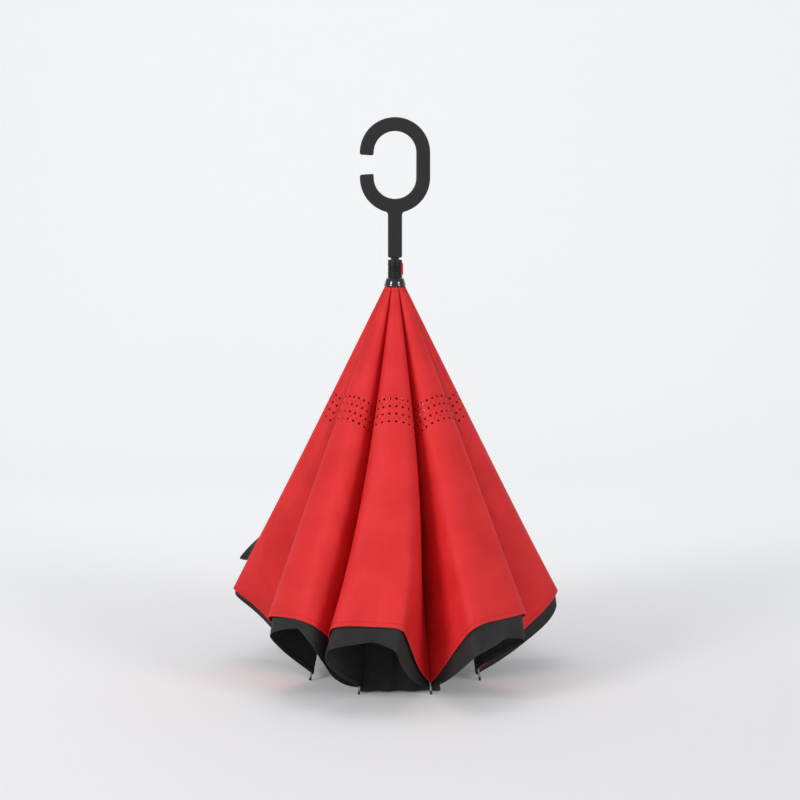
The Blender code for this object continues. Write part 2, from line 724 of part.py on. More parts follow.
def even_shares(start, beside, ridge_radius, count):
    """Curve shares that split a section into equal lengths of cloth."""
    fine = SECTION_SAMPLES
    points = [fold_point(start, beside, ridge_radius, index / fine) for index in range(fine + 1)]
    lengths = [0]
    for before, after in zip(points, points[1:]):
        lengths.append(lengths[-1] + (after - before).length)
    shares = []
    for column in range(count + 1):
        wanted = lengths[-1] * column / count
        nearest = min(range(fine + 1), key=lambda index: abs(lengths[index] - wanted))
        shares.append(nearest / fine)
    return shares


def rib_radius(height):
    return HINGE_RADIUS + (RIB_HINGE_HEIGHT - height) * math.tan(RIB_CLOSED)


def stretcher_radius(height):
    return HINGE_RADIUS + (height - CROWN_HINGE_HEIGHT) * math.tan(STRETCHER_CLOSED)


def red_ridge(height):
    return RIDGE_TOP_RADIUS + (RED_TOP - height) * RIDGE_SLOPE


def funnel_ridge(height):
    return FUNNEL_BOTTOM_RADIUS + (height - FUNNEL_BOTTOM) * FUNNEL_SLOPE


def red_point(height, share):
    return fold_point(rib_radius(height) + RED_STAND, SEAM_GAP, red_ridge(height), share)


def black_outer_point(height, share):
    """The lining under the ribs. A share below zero is its edge under the rib."""
    start = rib_radius(height) - BLACK_UNDER_RIB
    if share < 0:
        return Vector((start, BLACK_SEAM_GAP))
    ridge = red_ridge(height) - BLACK_UNDER_RED
    return fold_point(start + BLACK_SEAM_GAP, BLACK_BESIDE_RIB, ridge, share, BLACK_RIDGE_GAP)


def black_inner_point(height, share):
    """The lining round the stretchers. A share below zero is its edge over the stretcher."""
    start = stretcher_radius(height) + FUNNEL_STAND
    if share < 0:
        return Vector((start, BLACK_SEAM_GAP))
    climb = (height - FUNNEL_BOTTOM) / (PIVOT_HEIGHT - FUNNEL_BOTTOM)
    beside = BLACK_SEAM_GAP + FUNNEL_SPREAD * climb
    return fold_point(start, beside, funnel_ridge(height), share, BLACK_RIDGE_GAP)


def ray_height(section, share, length):
    """The height that a straight ray of cloth from the runner reaches at this length."""
    probe = PIVOT_HEIGHT
    drop = RED_TOP - probe
    slide = (section(probe, share) - section(RED_TOP, share)).length / drop
    return RED_TOP - length / math.hypot(1, slide)


def scallop(rib_length, ridge_length, across_share):
    return ridge_length + (rib_length - ridge_length) * (1 - across_share) ** SCALLOP_POWER


def red_rows():
    """Rows of half a red gore from the runner to the hem, in its rib's frame."""
    low = RED_TOP - RED_RIDGE_LENGTH
    shares = even_shares(rib_radius(low) + RED_STAND, SEAM_GAP, red_ridge(low), RED_COLUMNS)
    rows = [[] for _ in range(RED_ROWS + 1)]
    for column, share in enumerate(shares):
        length = scallop(RED_RIB_LENGTH, RED_RIDGE_LENGTH, column / RED_COLUMNS)
        hem = ray_height(red_point, share, length)
        for row in range(RED_ROWS + 1):
            height = RED_TOP + (hem - RED_TOP) * row / RED_ROWS
            rows[row].append((*red_point(height, share), height))
    return rows


def black_rows():
    """Rows of half a black gore: up round the stretchers, over the fold and down to the hem."""
    low = RED_TOP - BLACK_RIDGE_LENGTH
    start = rib_radius(low) - BLACK_UNDER_RIB
    shares = even_shares(start, BLACK_BESIDE_RIB, red_ridge(low) - BLACK_UNDER_RED, BLACK_COLUMNS - 1)
    shares = [-1] + shares
    rows = [[] for _ in range(BLACK_INNER_ROWS + BLACK_OUTER_ROWS + 2)]
    for column, share in enumerate(shares):
        across_share = max(column - 1, 0) / (BLACK_COLUMNS - 1)
        length = scallop(BLACK_RIB_LENGTH, BLACK_RIDGE_LENGTH, across_share)
        hem = ray_height(black_outer_point, share, length)
        valley = PIVOT_HEIGHT - FOLD_DROP
        inner_top = valley + (FUNNEL_RIDGE_TOP - valley) * across_share
        outer_top = valley + FOLD_STEP + (OUTER_RIDGE_TOP - valley - FOLD_STEP) * across_share
        for row in range(BLACK_INNER_ROWS + 1):
            height = FUNNEL_BOTTOM + (inner_top - FUNNEL_BOTTOM) * row / BLACK_INNER_ROWS
            rows[row].append((*black_inner_point(height, share), height))
        for row in range(BLACK_OUTER_ROWS + 1):
            height = outer_top + (hem - outer_top) * row / BLACK_OUTER_ROWS
            place = (*black_outer_point(height, share), height)
            rows[BLACK_INNER_ROWS + 1 + row].append(place)
    return rows


def cloth_mesh(name, rows, side, thickness, material):
    """A grid whose points are moved onto the rows, given its thickness on the inside of the fold."""
    down = len(rows)
    over = len(rows[0])
    shape = bmesh.new()
    bmesh.ops.create_grid(shape, x_segments=over - 1, y_segments=down - 1, size=1)
    shape.verts.ensure_lookup_table()
    for index, vertex in enumerate(shape.verts):
        outward, sideways, height = rows[index // over][index % over]
        vertex.co = (outward, side * sideways, height)
    if side > 0:
        bmesh.ops.reverse_faces(shape, faces=shape.faces)
    mesh = to_mesh(name, shape)
    mesh.materials.append(material)
    mesh.shade_smooth()
    pattern = add_object(f"{name} pattern", mesh)
    solid = pattern.modifiers.new("Thickness", "SOLIDIFY")
    solid.thickness = thickness
    solid.offset = -1
    made = evaluated_mesh(pattern, name)
    bpy.data.objects.remove(pattern, do_unlink=True)
    return made


def make_cloth():
    sheets = []
    for side, word in ((1, "a"), (-1, "b")):
        red = cloth_mesh(f"red {word}", red_rows(), side, RED_THICKNESS, RED_CLOTH)
        black = cloth_mesh(f"black {word}", black_rows(), side, BLACK_THICKNESS, BLACK_CLOTH)
        sheets.append((word, red, black))
    for index in range(RIB_COUNT):
        turn = around(rib_angle(index))
        for word, red, black in sheets:
            add_object(f"inner_canopy_{index + 1}{word}", red, RED_CLOTH, turn)
            add_object(f"outer_canopy_{index + 1}{word}", black, BLACK_CLOTH, turn)


def make_strap():
    """The closing strap, sewn just behind the left gore's ridge and springing away below its seam."""
    top = ray_height(red_point, 1, RED_RIDGE_LENGTH) + STRAP_ABOVE_HEM
    rows = []
    for index in range(STRAP_STEPS + 1):
        share = index / STRAP_STEPS
        height = top - STRAP_LENGTH * share
        radius = red_ridge(height) + STRAP_STAND + STRAP_FLARE * share**STRAP_POWER
        rows.append((radius, height))
    shape = bmesh.new()
    bmesh.ops.create_grid(shape, x_segments=1, y_segments=STRAP_STEPS, size=1)
    shape.verts.ensure_lookup_table()
    for index, vertex in enumerate(shape.verts):
        radius, height = rows[index // 2]
        vertex.co = (-radius, STRAP_ASIDE + STRAP_WIDTH * (index % 2), height)
    mesh = to_mesh("closing_strap", shape)
    strap = add_object("closing_strap", mesh, BLACK_CLOTH)
    solid = strap.modifiers.new("Thickness", "SOLIDIFY")
    solid.thickness = STRAP_THICKNESS
    solid.offset = 1


clear_scene()
UMBRELLA = make_collection("inverted umbrella")
CUTTERS = make_collection("cutters", hidden=True)
SOFT_BLACK = make_material("soft black plastic", (0.03, 0.03, 0.03), 0.55)
GLOSS_BLACK = make_material("gloss black plastic", (0.01, 0.01, 0.01), 0.2)
BLACK_STEEL = make_material("black painted steel", (0.02, 0.02, 0.02), 0.35, 0.6)
STEEL = make_material("bright steel", (0.6, 0.6, 0.62), 0.3, 1)
RED_PLASTIC = make_material("red plastic", (0.6, 0.02, 0.02), 0.35)
RED_CLOTH = make_material("red pongee cloth", (0.8, 0.04, 0.045), 0.7)
BLACK_CLOTH = make_material("black pongee cloth", (0.012, 0.012, 0.012), 0.75)

make_handle()
make_shaft()
make_catch()
make_ferrule()
make_grip()
make_button()
make_button_spring()
make_notch()
make_crown()
make_ring("runner_wire", RIB_HINGE_HEIGHT)
make_ring("crown_wire", CROWN_HINGE_HEIGHT)
make_frame()
make_cloth()
make_strap()
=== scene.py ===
"""Looks of the inverted umbrella, closed and standing on its rib tips. Metres, +Z up."""

import json
import math
from functools import partial

import bmesh
import bpy
import numpy as np
from mathutils import Matrix, Vector


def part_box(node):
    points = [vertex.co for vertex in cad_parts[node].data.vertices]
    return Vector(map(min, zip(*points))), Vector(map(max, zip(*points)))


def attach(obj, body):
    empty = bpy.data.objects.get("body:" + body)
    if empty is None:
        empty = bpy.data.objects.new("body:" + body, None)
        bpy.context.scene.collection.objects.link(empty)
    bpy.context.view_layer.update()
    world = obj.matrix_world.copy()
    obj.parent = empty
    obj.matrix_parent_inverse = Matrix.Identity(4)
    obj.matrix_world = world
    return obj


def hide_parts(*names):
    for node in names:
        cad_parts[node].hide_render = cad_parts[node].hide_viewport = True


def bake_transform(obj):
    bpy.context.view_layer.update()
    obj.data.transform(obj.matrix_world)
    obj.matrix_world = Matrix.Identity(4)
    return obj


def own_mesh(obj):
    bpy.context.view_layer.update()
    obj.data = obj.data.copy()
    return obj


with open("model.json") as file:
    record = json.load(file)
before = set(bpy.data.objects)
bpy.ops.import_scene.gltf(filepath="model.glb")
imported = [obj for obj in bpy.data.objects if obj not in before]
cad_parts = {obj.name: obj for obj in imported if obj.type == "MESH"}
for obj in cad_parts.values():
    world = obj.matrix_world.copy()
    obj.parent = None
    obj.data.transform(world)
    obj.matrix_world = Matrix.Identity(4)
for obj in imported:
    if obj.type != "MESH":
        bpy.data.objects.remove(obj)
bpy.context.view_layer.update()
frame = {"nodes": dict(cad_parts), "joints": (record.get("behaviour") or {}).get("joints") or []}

joints = {joint["name"]: joint for joint in frame["joints"]}
scene = bpy.context.scene
scene.view_settings.view_transform = "Standard"

# The studio: a pale paper floor that sweeps up into the backdrop, soft lamps on both sides and above,
# and the camera, level with the umbrella's top and about three metres away.
LENS = 88.8
CAMERA_DISTANCE = 2.80
CAMERA_HEIGHT = 0.78
CAMERA_PITCH = math.radians(7.75)
FRAME_PIXELS = 800
SHAFT_PIXEL = 395
FLOOR_FRONT = -4.5
SWEEP_START = 1.6
SWEEP_RADIUS = 1.5
SWEEP_STEPS = 24
WALL_HEIGHT = 5.0
STAGE_HALF_WIDTH = 5.0
PAPER = (0.79, 0.79, 0.79)
PAPER_SHADE = (0.77, 0.77, 0.775)
CLOUDS_PER_METRE = 0.5
WALL_GLOW = 0.34
FLOOR_GLOW = 0.03
GLOW_START = -0.9
SHARP_ANGLE = math.radians(35)


def new_material(name):
    """A material, with its node tree and its shader."""
    material = bpy.data.materials.new(name)
    material.use_nodes = True
    return material, material.node_tree, material.node_tree.nodes["Principled BSDF"]


def set_inputs(tree, node, inputs):
    """Links each of these inputs of a node to an output, or sets its own value."""
    for key, value in inputs.items():
        if isinstance(value, bpy.types.NodeSocket):
            tree.links.new(value, node.inputs[key])
        else:
            node.inputs[key].default_value = value


def add_node(tree, kind, inputs, **settings):
    """A node with its settings and the values or links of its inputs."""
    made = tree.nodes.new(kind)
    for name, value in settings.items():
        setattr(made, name, value)
    set_inputs(tree, made, inputs)
    return made


def maths(tree, operation, *values):
    """The result of a sum on values or sockets."""
    return add_node(tree, "ShaderNodeMath", dict(enumerate(values)), operation=operation).outputs[0]


def mix_colours(tree, factor, first, second):
    """A colour between two others."""
    return add_node(tree, "ShaderNodeMix", {0: factor, 6: first, 7: second}, data_type="RGBA").outputs[2]


def only(kind, items):
    """Those mesh elements that are of one kind."""
    return [item for item in items if isinstance(item, kind)]


def finished(shape, name, material, smooth_angle=SHARP_ANGLE):
    """Turns a bmesh into an object whose place is in its mesh."""
    mesh = bpy.data.meshes.new(name)
    shape.to_mesh(mesh)
    shape.free()
    mesh.materials.append(material)
    mesh.shade_smooth()
    mesh.set_sharp_from_angle(angle=smooth_angle)
    piece = bpy.data.objects.new(name, mesh)
    scene.collection.objects.link(piece)
    return piece


paper, paper_tree, paper_shader = new_material("pale paper")
paper_place = add_node(paper_tree, "ShaderNodeTexCoord", {}).outputs["Object"]
paper_cloud = add_node(
    paper_tree, "ShaderNodeTexNoise", {"Vector": paper_place, "Scale": CLOUDS_PER_METRE, "Detail": 1.0}
)
paper_colour = mix_colours(paper_tree, paper_cloud.outputs["Fac"], (*PAPER_SHADE, 1), (*PAPER, 1))
# what the camera, gloss and glass see of the paper is paler behind the umbrella than in front of it
paper_depth = add_node(paper_tree, "ShaderNodeSeparateXYZ", {"Vector": paper_place}).outputs["Y"]
paper_glow = add_node(
    paper_tree, "ShaderNodeMapRange",
    {"Value": paper_depth, "From Min": GLOW_START, "From Max": SWEEP_START, "To Min": FLOOR_GLOW,
     "To Max": WALL_GLOW},
    interpolation_type="SMOOTHSTEP",
)
paper_rays = paper_tree.nodes.new("ShaderNodeLightPath").outputs
paper_seen = paper_rays["Is Camera Ray"]
for ray in ("Is Glossy Ray", "Is Transmission Ray"):
    paper_seen = maths(paper_tree, "MAXIMUM", paper_seen, paper_rays[ray])
seen_glow = maths(paper_tree, "MULTIPLY", paper_glow.outputs["Result"], paper_seen)
set_inputs(
    paper_tree, paper_shader,
    {"Base Color": paper_colour, "Roughness": 0.85, "Emission Color": (0.97, 0.985, 1.0, 1),
     "Emission Strength": seen_glow},
)

sweep = bmesh.new()
front_ends = [sweep.verts.new((x, FLOOR_FRONT, 0)) for x in (-STAGE_HALF_WIDTH, STAGE_HALF_WIDTH)]
floor_run = bmesh.ops.extrude_edge_only(sweep, edges=[sweep.edges.new(front_ends)])["geom"]
floor_back = only(bmesh.types.BMVert, floor_run)
bmesh.ops.translate(sweep, verts=floor_back, vec=(0, SWEEP_START - FLOOR_FRONT, 0))
curl = bmesh.ops.spin(
    sweep, geom=floor_back + only(bmesh.types.BMEdge, floor_run), cent=(0, SWEEP_START, SWEEP_RADIUS),
    axis=(1, 0, 0), angle=math.pi / 2, steps=SWEEP_STEPS,
)
wall_foot = only(bmesh.types.BMEdge, curl["geom_last"])
wall_run = bmesh.ops.extrude_edge_only(sweep, edges=wall_foot)["geom"]
bmesh.ops.translate(sweep, verts=only(bmesh.types.BMVert, wall_run), vec=(0, 0, WALL_HEIGHT))
finished(sweep, "paper_sweep", paper)

camera_data = bpy.data.cameras.new("camera")
camera_data.lens = LENS
camera_data.shift_x = (FRAME_PIXELS / 2 - SHAFT_PIXEL) / FRAME_PIXELS
camera = bpy.data.objects.new("camera", camera_data)
camera.location = (0, -CAMERA_DISTANCE, CAMERA_HEIGHT)
camera.rotation_euler = (math.pi / 2 - CAMERA_PITCH, 0, 0)
scene.collection.objects.link(camera)
scene.camera = camera


def add_lamp(name, place, target, width, watts):
    """A square soft box that faces a point."""
    lamp = bpy.data.lights.new(name, "AREA")
    lamp.size = width
    lamp.energy = watts
    holder = bpy.data.objects.new(name, lamp)
    holder.location = place
    holder.rotation_euler = (Vector(target) - Vector(place)).to_track_quat("-Z", "Y").to_euler()
    scene.collection.objects.link(holder)


add_lamp("key lamp", (-2.2, -2.1, 1.5), (0, 0, 0.35), 1.0, 52)
add_lamp("fill lamp", (2.2, -2.2, 1.5), (0, 0, 0.35), 1.0, 34)
add_lamp("top lamp", (-0.2, 0.0, 3.0), (0, 0, 0.2), 1.8, 16)
world = bpy.data.worlds.new("pale room")
world.use_nodes = True
world.node_tree.nodes["Background"].inputs["Color"].default_value = (0.93, 0.95, 1.0, 1)
world.node_tree.nodes["Background"].inputs["Strength"].default_value = 0.42
scene.world = world

# Shaft: a thin steel tube, painted black, which runs from the handle's stem down into the ferrule.
# A window is cut in its side, where the nose of the spring catch stands out.
SHAFT_WALL = 0.0008
SHAFT_LOW, SHAFT_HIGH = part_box("shaft_tube")
SHAFT_RADIUS = SHAFT_HIGH.x
SHAFT_STEPS = 64
TURNED_STEPS = 96
CATCH_LOW, CATCH_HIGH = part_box("shaft_catch")
CLEARANCE = 0.0003
SMALL_EDGE = 0.0003
SAME_PLACE = 0.00001
SCUFFS_PER_METRE = 90.0


def round_edges(shape, width, segments=3, least=math.radians(40)):
    """Rounds every edge whose faces meet at more than the least angle."""
    sharp = [edge for edge in shape.edges if edge.is_manifold and edge.calc_face_angle() > least]
    bmesh.ops.bevel(
        shape, geom=sharp, offset=width, segments=segments, profile=0.5, affect="EDGES",
        clamp_overlap=True, material=-1,
    )


def turn_outline(shape, outline, place, steps):
    """Turns a closed outline of (radius, height) about the Z axis of a place."""
    spots = [shape.verts.new(place @ Vector((radius, 0, height))) for radius, height in outline]
    edges = [shape.edges.new(ends) for ends in zip(spots, spots[1:] + spots[:1])]
    bmesh.ops.spin(
        shape, geom=spots + edges, cent=place.translation, axis=place.to_3x3() @ Vector((0, 0, 1)),
        angle=2 * math.pi, steps=steps, use_merge=True,
    )


def turned_shape(outline, steps=TURNED_STEPS):
    """A ring turned about the shaft from a closed outline."""
    shape = bmesh.new()
    turn_outline(shape, outline, Matrix.Identity(4), steps)
    bmesh.ops.remove_doubles(shape, verts=shape.verts, dist=SAME_PLACE)
    bmesh.ops.recalc_face_normals(shape, faces=shape.faces)
    return shape


def tube(outer, inner, low, high):
    """The closed outline of a plain ring."""
    return [(outer, high), (outer, low), (inner, low), (inner, high)]


def cut_away(piece, shape):
    """Cuts a closed shape out of a piece, and applies the cut."""
    mesh = bpy.data.meshes.new("cutter")
    shape.to_mesh(mesh)
    shape.free()
    cutter = bpy.data.objects.new("cutter", mesh)
    scene.collection.objects.link(cutter)
    cut = piece.modifiers.new("cut", "BOOLEAN")
    cut.operation = "DIFFERENCE"
    cut.solver = "EXACT"
    cut.object = cutter
    bpy.context.view_layer.update()
    graph = bpy.context.evaluated_depsgraph_get()
    whole = piece.data
    piece.data = bpy.data.meshes.new_from_object(piece.evaluated_get(graph))
    piece.modifiers.remove(cut)
    bpy.data.meshes.remove(whole)
    bpy.data.objects.remove(cutter)
    piece.data.set_sharp_from_angle(angle=SHARP_ANGLE)


def add_box(shape, low, high, place=Matrix.Identity(4)):
    """A box between two corners, placed by a matrix."""
    middle = (Vector(low) + Vector(high)) / 2
    size = Vector(high) - Vector(low)
    matrix = place @ Matrix.Translation(middle) @ Matrix.Diagonal((*size, 1))
    return bmesh.ops.create_cube(shape, size=1, matrix=matrix)["verts"]


def cut_box(piece, low, high):
    """Cuts a box between two corners out of a piece."""
    block = bmesh.new()
    add_box(block, low, high)
    cut_away(piece, block)


def new_group(name, inputs, outputs):
    """A node group that gives numbers: its tree, what it is given, and the node that holds its results."""
    tree = bpy.data.node_groups.new(name, "ShaderNodeTree")
    for socket, kind in inputs.items():
        tree.interface.new_socket(socket, in_out="INPUT", socket_type=kind)
    for socket in outputs:
        tree.interface.new_socket(socket, in_out="OUTPUT", socket_type="NodeSocketFloat")
    return tree, tree.nodes.new("NodeGroupInput").outputs, tree.nodes.new("NodeGroupOutput")


def moulded_grain():
    """The fine grain of moulded or sprayed surfaces: a height for bump and a mask of faint scuffs."""
    tree, given, result = new_group(
        "Moulded grain", {"Place": "NodeSocketVector", "Grains per metre": "NodeSocketFloat"},
        ("Height", "Scuffs"),
    )
    grain = add_node(
        tree, "ShaderNodeTexNoise",
        {"Vector": given["Place"], "Scale": given["Grains per metre"], "Detail": 3.0, "Roughness": 0.6},
    )
    rubbed = add_node(
        tree, "ShaderNodeTexNoise",
        {"Vector": given["Place"], "Scale": SCUFFS_PER_METRE, "Detail": 6.0, "Roughness": 0.75},
    )
    mask = add_node(
        tree, "ShaderNodeMapRange", {"Value": rubbed.outputs["Fac"], "From Min": 0.52, "From Max": 0.74}
    )
    set_inputs(tree, result, {"Height": grain.outputs["Fac"], "Scuffs": mask.outputs["Result"]})
    return tree


GRAIN = moulded_grain()


def grained(name, colour, scuffed, roughness, grains, depth, metallic=0.0, coat=0.0, specular=0.5):
    """Plastic or metal with its grain, and with faint scuffs of another colour and roughness."""
    material, tree, shader = new_material(name)
    place = add_node(tree, "ShaderNodeTexCoord", {}).outputs["Object"]
    grain = add_node(
        tree, "ShaderNodeGroup", {"Place": place, "Grains per metre": grains}, node_tree=GRAIN
    ).outputs
    tint = mix_colours(tree, grain["Scuffs"], (*colour, 1), (*scuffed, 1))
    rough = add_node(
        tree, "ShaderNodeMapRange",
        {"Value": grain["Scuffs"], "To Min": roughness[0], "To Max": roughness[1]},
    )
    bump = add_node(tree, "ShaderNodeBump", {"Height": grain["Height"], "Distance": depth})
    set_inputs(
        tree, shader,
        {"Base Color": tint, "Roughness": rough.outputs["Result"], "Normal": bump.outputs["Normal"],
         "Metallic": metallic, "Coat Weight": coat, "Specular IOR Level": specular},
    )
    return material


black_paint = grained(
    "black paint on steel", (0.010, 0.010, 0.011), (0.028, 0.028, 0.028), (0.28, 0.5), 900.0, 0.00001,
    coat=0.3,
)
bright_steel = grained(
    "bright steel", (0.38, 0.38, 0.39), (0.26, 0.26, 0.265), (0.34, 0.5), 1400.0, 0.000008, metallic=1.0
)

shaft_shape = turned_shape(
    tube(SHAFT_RADIUS, SHAFT_RADIUS - SHAFT_WALL, SHAFT_LOW.z, SHAFT_HIGH.z), steps=SHAFT_STEPS
)
shaft = finished(shaft_shape, "shaft", black_paint)
cut_box(
    shaft,
    (0, CATCH_LOW.y - CLEARANCE, CATCH_LOW.z - CLEARANCE),
    (CATCH_HIGH.x, CATCH_HIGH.y + CLEARANCE, CATCH_HIGH.z + CLEARANCE),
)
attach(shaft, "frame")
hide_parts("shaft_tube")

# Spring catch: a stamped steel plate in the shaft. Its nose is flat below, where the open runner
# rests against it, and sloped above, so that the runner pushes it in as it comes down.
catch_shape = bmesh.new()
for corner in add_box(catch_shape, CATCH_LOW, CATCH_HIGH):
    if corner.co.x > SHAFT_RADIUS and corner.co.z > CATCH_HIGH.z - CLEARANCE:
        corner.co.x = SHAFT_RADIUS
round_edges(catch_shape, SMALL_EDGE, segments=2, least=math.radians(20))
catch = finished(catch_shape, "catch_plate", bright_steel)
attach(catch, "catch")
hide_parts("shaft_catch")

# Crown: a black nylon ring pressed on the shaft, with eight slots for the stretchers' eyes and a
# groove for the wire ring that they turn on. The ferrule under it closes the end of the shaft.
CROWN_LOW, CROWN_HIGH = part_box("crown_notch")
CROWN_EDGE = 0.0011
CROWN_SLOT_HALF_WIDTH = 0.0019
CROWN_SLOT_DROP = 0.0024
GROOVE_HALF = 0.00075
GROOVE_STEPS = 72
FERRULE_LOW, FERRULE_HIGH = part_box("ferrule")
FERRULE_SHOULDER = 0.0337
FERRULE_END_RADIUS = 0.0062
FERRULE_BEAD = 0.0006
RIB_COUNT = 8
SECTOR = 2 * math.pi / RIB_COUNT
HALF_SECTOR = SECTOR / 2
CROWN_HINGE = Vector(joints["stretcher_1_hinge"]["pos_m"])
HINGE_RADIUS = math.hypot(CROWN_HINGE.x, CROWN_HINGE.y)


def around(angle):
    return Matrix.Rotation(angle, 4, "Z")


def rib_azimuth(number):
    return HALF_SECTOR + (number - 1) * SECTOR


def cut_hinge_seats(piece, height, low, high, half_width, outside):
    """Cuts the slots for eight eyes, and the groove for their ring of wire."""
    slots = bmesh.new()
    for number in range(1, RIB_COUNT + 1):
        place = around(rib_azimuth(number))
        corner = (HINGE_RADIUS - CROWN_SLOT_DROP, -half_width, low)
        add_box(slots, corner, (outside, half_width, high), place)
    cut_away(piece, slots)
    groove = tube(outside, HINGE_RADIUS - GROOVE_HALF, height - GROOVE_HALF, height + GROOVE_HALF)
    cut_away(piece, turned_shape(groove, steps=GROOVE_STEPS))


def coat_node(name, material):
    """Gives its material to a solid of the frame that is shown as it is."""
    materials = frame["nodes"][name].data.materials
    materials.clear()
    materials.append(material)


black_nylon = grained(
    "black nylon", (0.014, 0.014, 0.015), (0.04, 0.04, 0.04), (0.38, 0.6), 1100.0, 0.00002
)
crown_shape = turned_shape(tube(CROWN_HIGH.x, SHAFT_RADIUS + CLEARANCE, CROWN_LOW.z, CROWN_HIGH.z))
round_edges(crown_shape, CROWN_EDGE)
crown = finished(crown_shape, "crown", black_nylon)
cut_hinge_seats(
    crown, CROWN_HINGE.z, CROWN_HINGE.z - CROWN_SLOT_DROP, CROWN_HIGH.z + CROWN_EDGE,
    CROWN_SLOT_HALF_WIDTH, CROWN_HIGH.x + CROWN_EDGE,
)
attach(crown, "frame")
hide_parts("crown_notch")

ferrule_radius = FERRULE_HIGH.x
ferrule_shape = turned_shape(
    [
        (ferrule_radius, FERRULE_HIGH.z),
        (ferrule_radius, FERRULE_SHOULDER + 3 * FERRULE_BEAD),
        (ferrule_radius - FERRULE_BEAD, FERRULE_SHOULDER + 2 * FERRULE_BEAD),
        (ferrule_radius, FERRULE_SHOULDER + FERRULE_BEAD),
        (ferrule_radius - FERRULE_BEAD / 2, FERRULE_SHOULDER),
        (FERRULE_END_RADIUS, FERRULE_LOW.z),
        (SHAFT_WALL, FERRULE_LOW.z),
        (SHAFT_WALL, FERRULE_SHOULDER),
        (SHAFT_RADIUS + CLEARANCE, FERRULE_SHOULDER),
        (SHAFT_RADIUS + CLEARANCE, FERRULE_HIGH.z),
    ]
)
round_edges(ferrule_shape, FERRULE_BEAD)
ferrule = finished(ferrule_shape, "ferrule_cap", black_nylon)
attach(ferrule, "frame")
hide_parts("ferrule")
coat_node("crown_wire", bright_steel)

# Ribs: eight round steel wires, each with an eye on the runner's ring, a flattened boss where its
# stretcher is riveted, and a black nylon tip that the corners of the cloth are sewn to.
RIB_HINGE = Vector(joints["rib_1_hinge"]["pos_m"])
RIB_LEAN = math.radians(12.25)
RIB_WIRE = 0.0016
RIB_EYE_RADIUS = 0.0015
RIB_EYE_HALF_WIDTH = 0.0009
RIB_EYE_HOLE = 0.0008
RIB_NECK = 0.0054
PIVOT_ALONG = 0.245
BOSS_RADIUS = 0.002
BOSS_HALF_WIDTH = 0.0019
TIP_BALL = 0.0019
TIP_RINGS = 16
TIP_FLAT = 0.0004
TIP_CUT = 0.00002
TIP_SLEEVE = 0.0016
TIP_SLEEVE_RADIUS = 0.0017
TIP_SLEEVE_START = 0.8
WIRE_STEPS = 20
ROD_STEPS = 24
RIB_LENGTH = (RIB_HINGE.z - TIP_BALL + TIP_FLAT) / math.cos(RIB_LEAN)
ACROSS = Matrix.Rotation(math.pi / 2, 4, "X")


def add_rod(shape, radius, low, high, steps, place, end_radius=None):
    """A rod along its own Z from low to high, placed by a matrix."""
    last = radius if end_radius is None else end_radius
    middle = place @ Matrix.Translation((0, 0, (low + high) / 2))
    return bmesh.ops.create_cone(
        shape, cap_ends=True, segments=steps, radius1=radius, radius2=last, depth=high - low, matrix=middle
    )["verts"]


def rib_place(number):
    """From a rib's own frame, in which it hangs along -Z from its eye, to its place when closed."""
    hinge = Matrix.Translation((HINGE_RADIUS, 0, RIB_HINGE.z))
    return around(rib_azimuth(number)) @ hinge @ Matrix.Rotation(-RIB_LEAN, 4, "Y")


for number in range(1, RIB_COUNT + 1):
    place = rib_place(number)
    eye_place = place @ ACROSS
    boss_place = place @ Matrix.Translation((0, 0, -PIVOT_ALONG)) @ ACROSS
    wire_shape = bmesh.new()
    add_rod(wire_shape, RIB_WIRE, -RIB_LENGTH + TIP_BALL, -RIB_NECK, WIRE_STEPS, place)
    add_rod(wire_shape, BOSS_RADIUS, -BOSS_HALF_WIDTH, BOSS_HALF_WIDTH, ROD_STEPS, boss_place)
    add_box(
        wire_shape, (-RIB_EYE_HOLE, -RIB_EYE_HALF_WIDTH, -RIB_NECK - RIB_WIRE),
        (RIB_EYE_HOLE, RIB_EYE_HALF_WIDTH, -RIB_EYE_HOLE), place,
    )
    round_edges(wire_shape, SMALL_EDGE, segments=2)
    eye = tube(RIB_EYE_RADIUS, RIB_EYE_HOLE, -RIB_EYE_HALF_WIDTH, RIB_EYE_HALF_WIDTH)
    turn_outline(wire_shape, eye, eye_place, ROD_STEPS)
    bmesh.ops.recalc_face_normals(wire_shape, faces=wire_shape.faces)
    wire = finished(wire_shape, f"rib_wire_{number}", bright_steel)
    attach(wire, f"rib_{number}")
    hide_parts(f"rib_{number}")

    tip_shape = bmesh.new()
    ball_place = place @ Matrix.Translation((0, 0, -RIB_LENGTH))
    bmesh.ops.create_uvsphere(
        tip_shape, u_segments=ROD_STEPS, v_segments=TIP_RINGS, radius=TIP_BALL, matrix=ball_place
    )
    add_rod(
        tip_shape, TIP_BALL * TIP_SLEEVE_START, TIP_BALL / 2, TIP_BALL + TIP_SLEEVE, ROD_STEPS, ball_place,
        end_radius=TIP_SLEEVE_RADIUS,
    )
    whole = tip_shape.verts[:] + tip_shape.edges[:] + tip_shape.faces[:]
    cut = bmesh.ops.bisect_plane(
        tip_shape, geom=whole, plane_co=(0, 0, TIP_CUT), plane_no=(0, 0, -1), clear_outer=True
    )
    bmesh.ops.holes_fill(tip_shape, edges=only(bmesh.types.BMEdge, cut["geom_cut"]))
    tip = finished(tip_shape, f"rib_tip_{number}", black_nylon)
    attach(tip, f"rib_{number}")

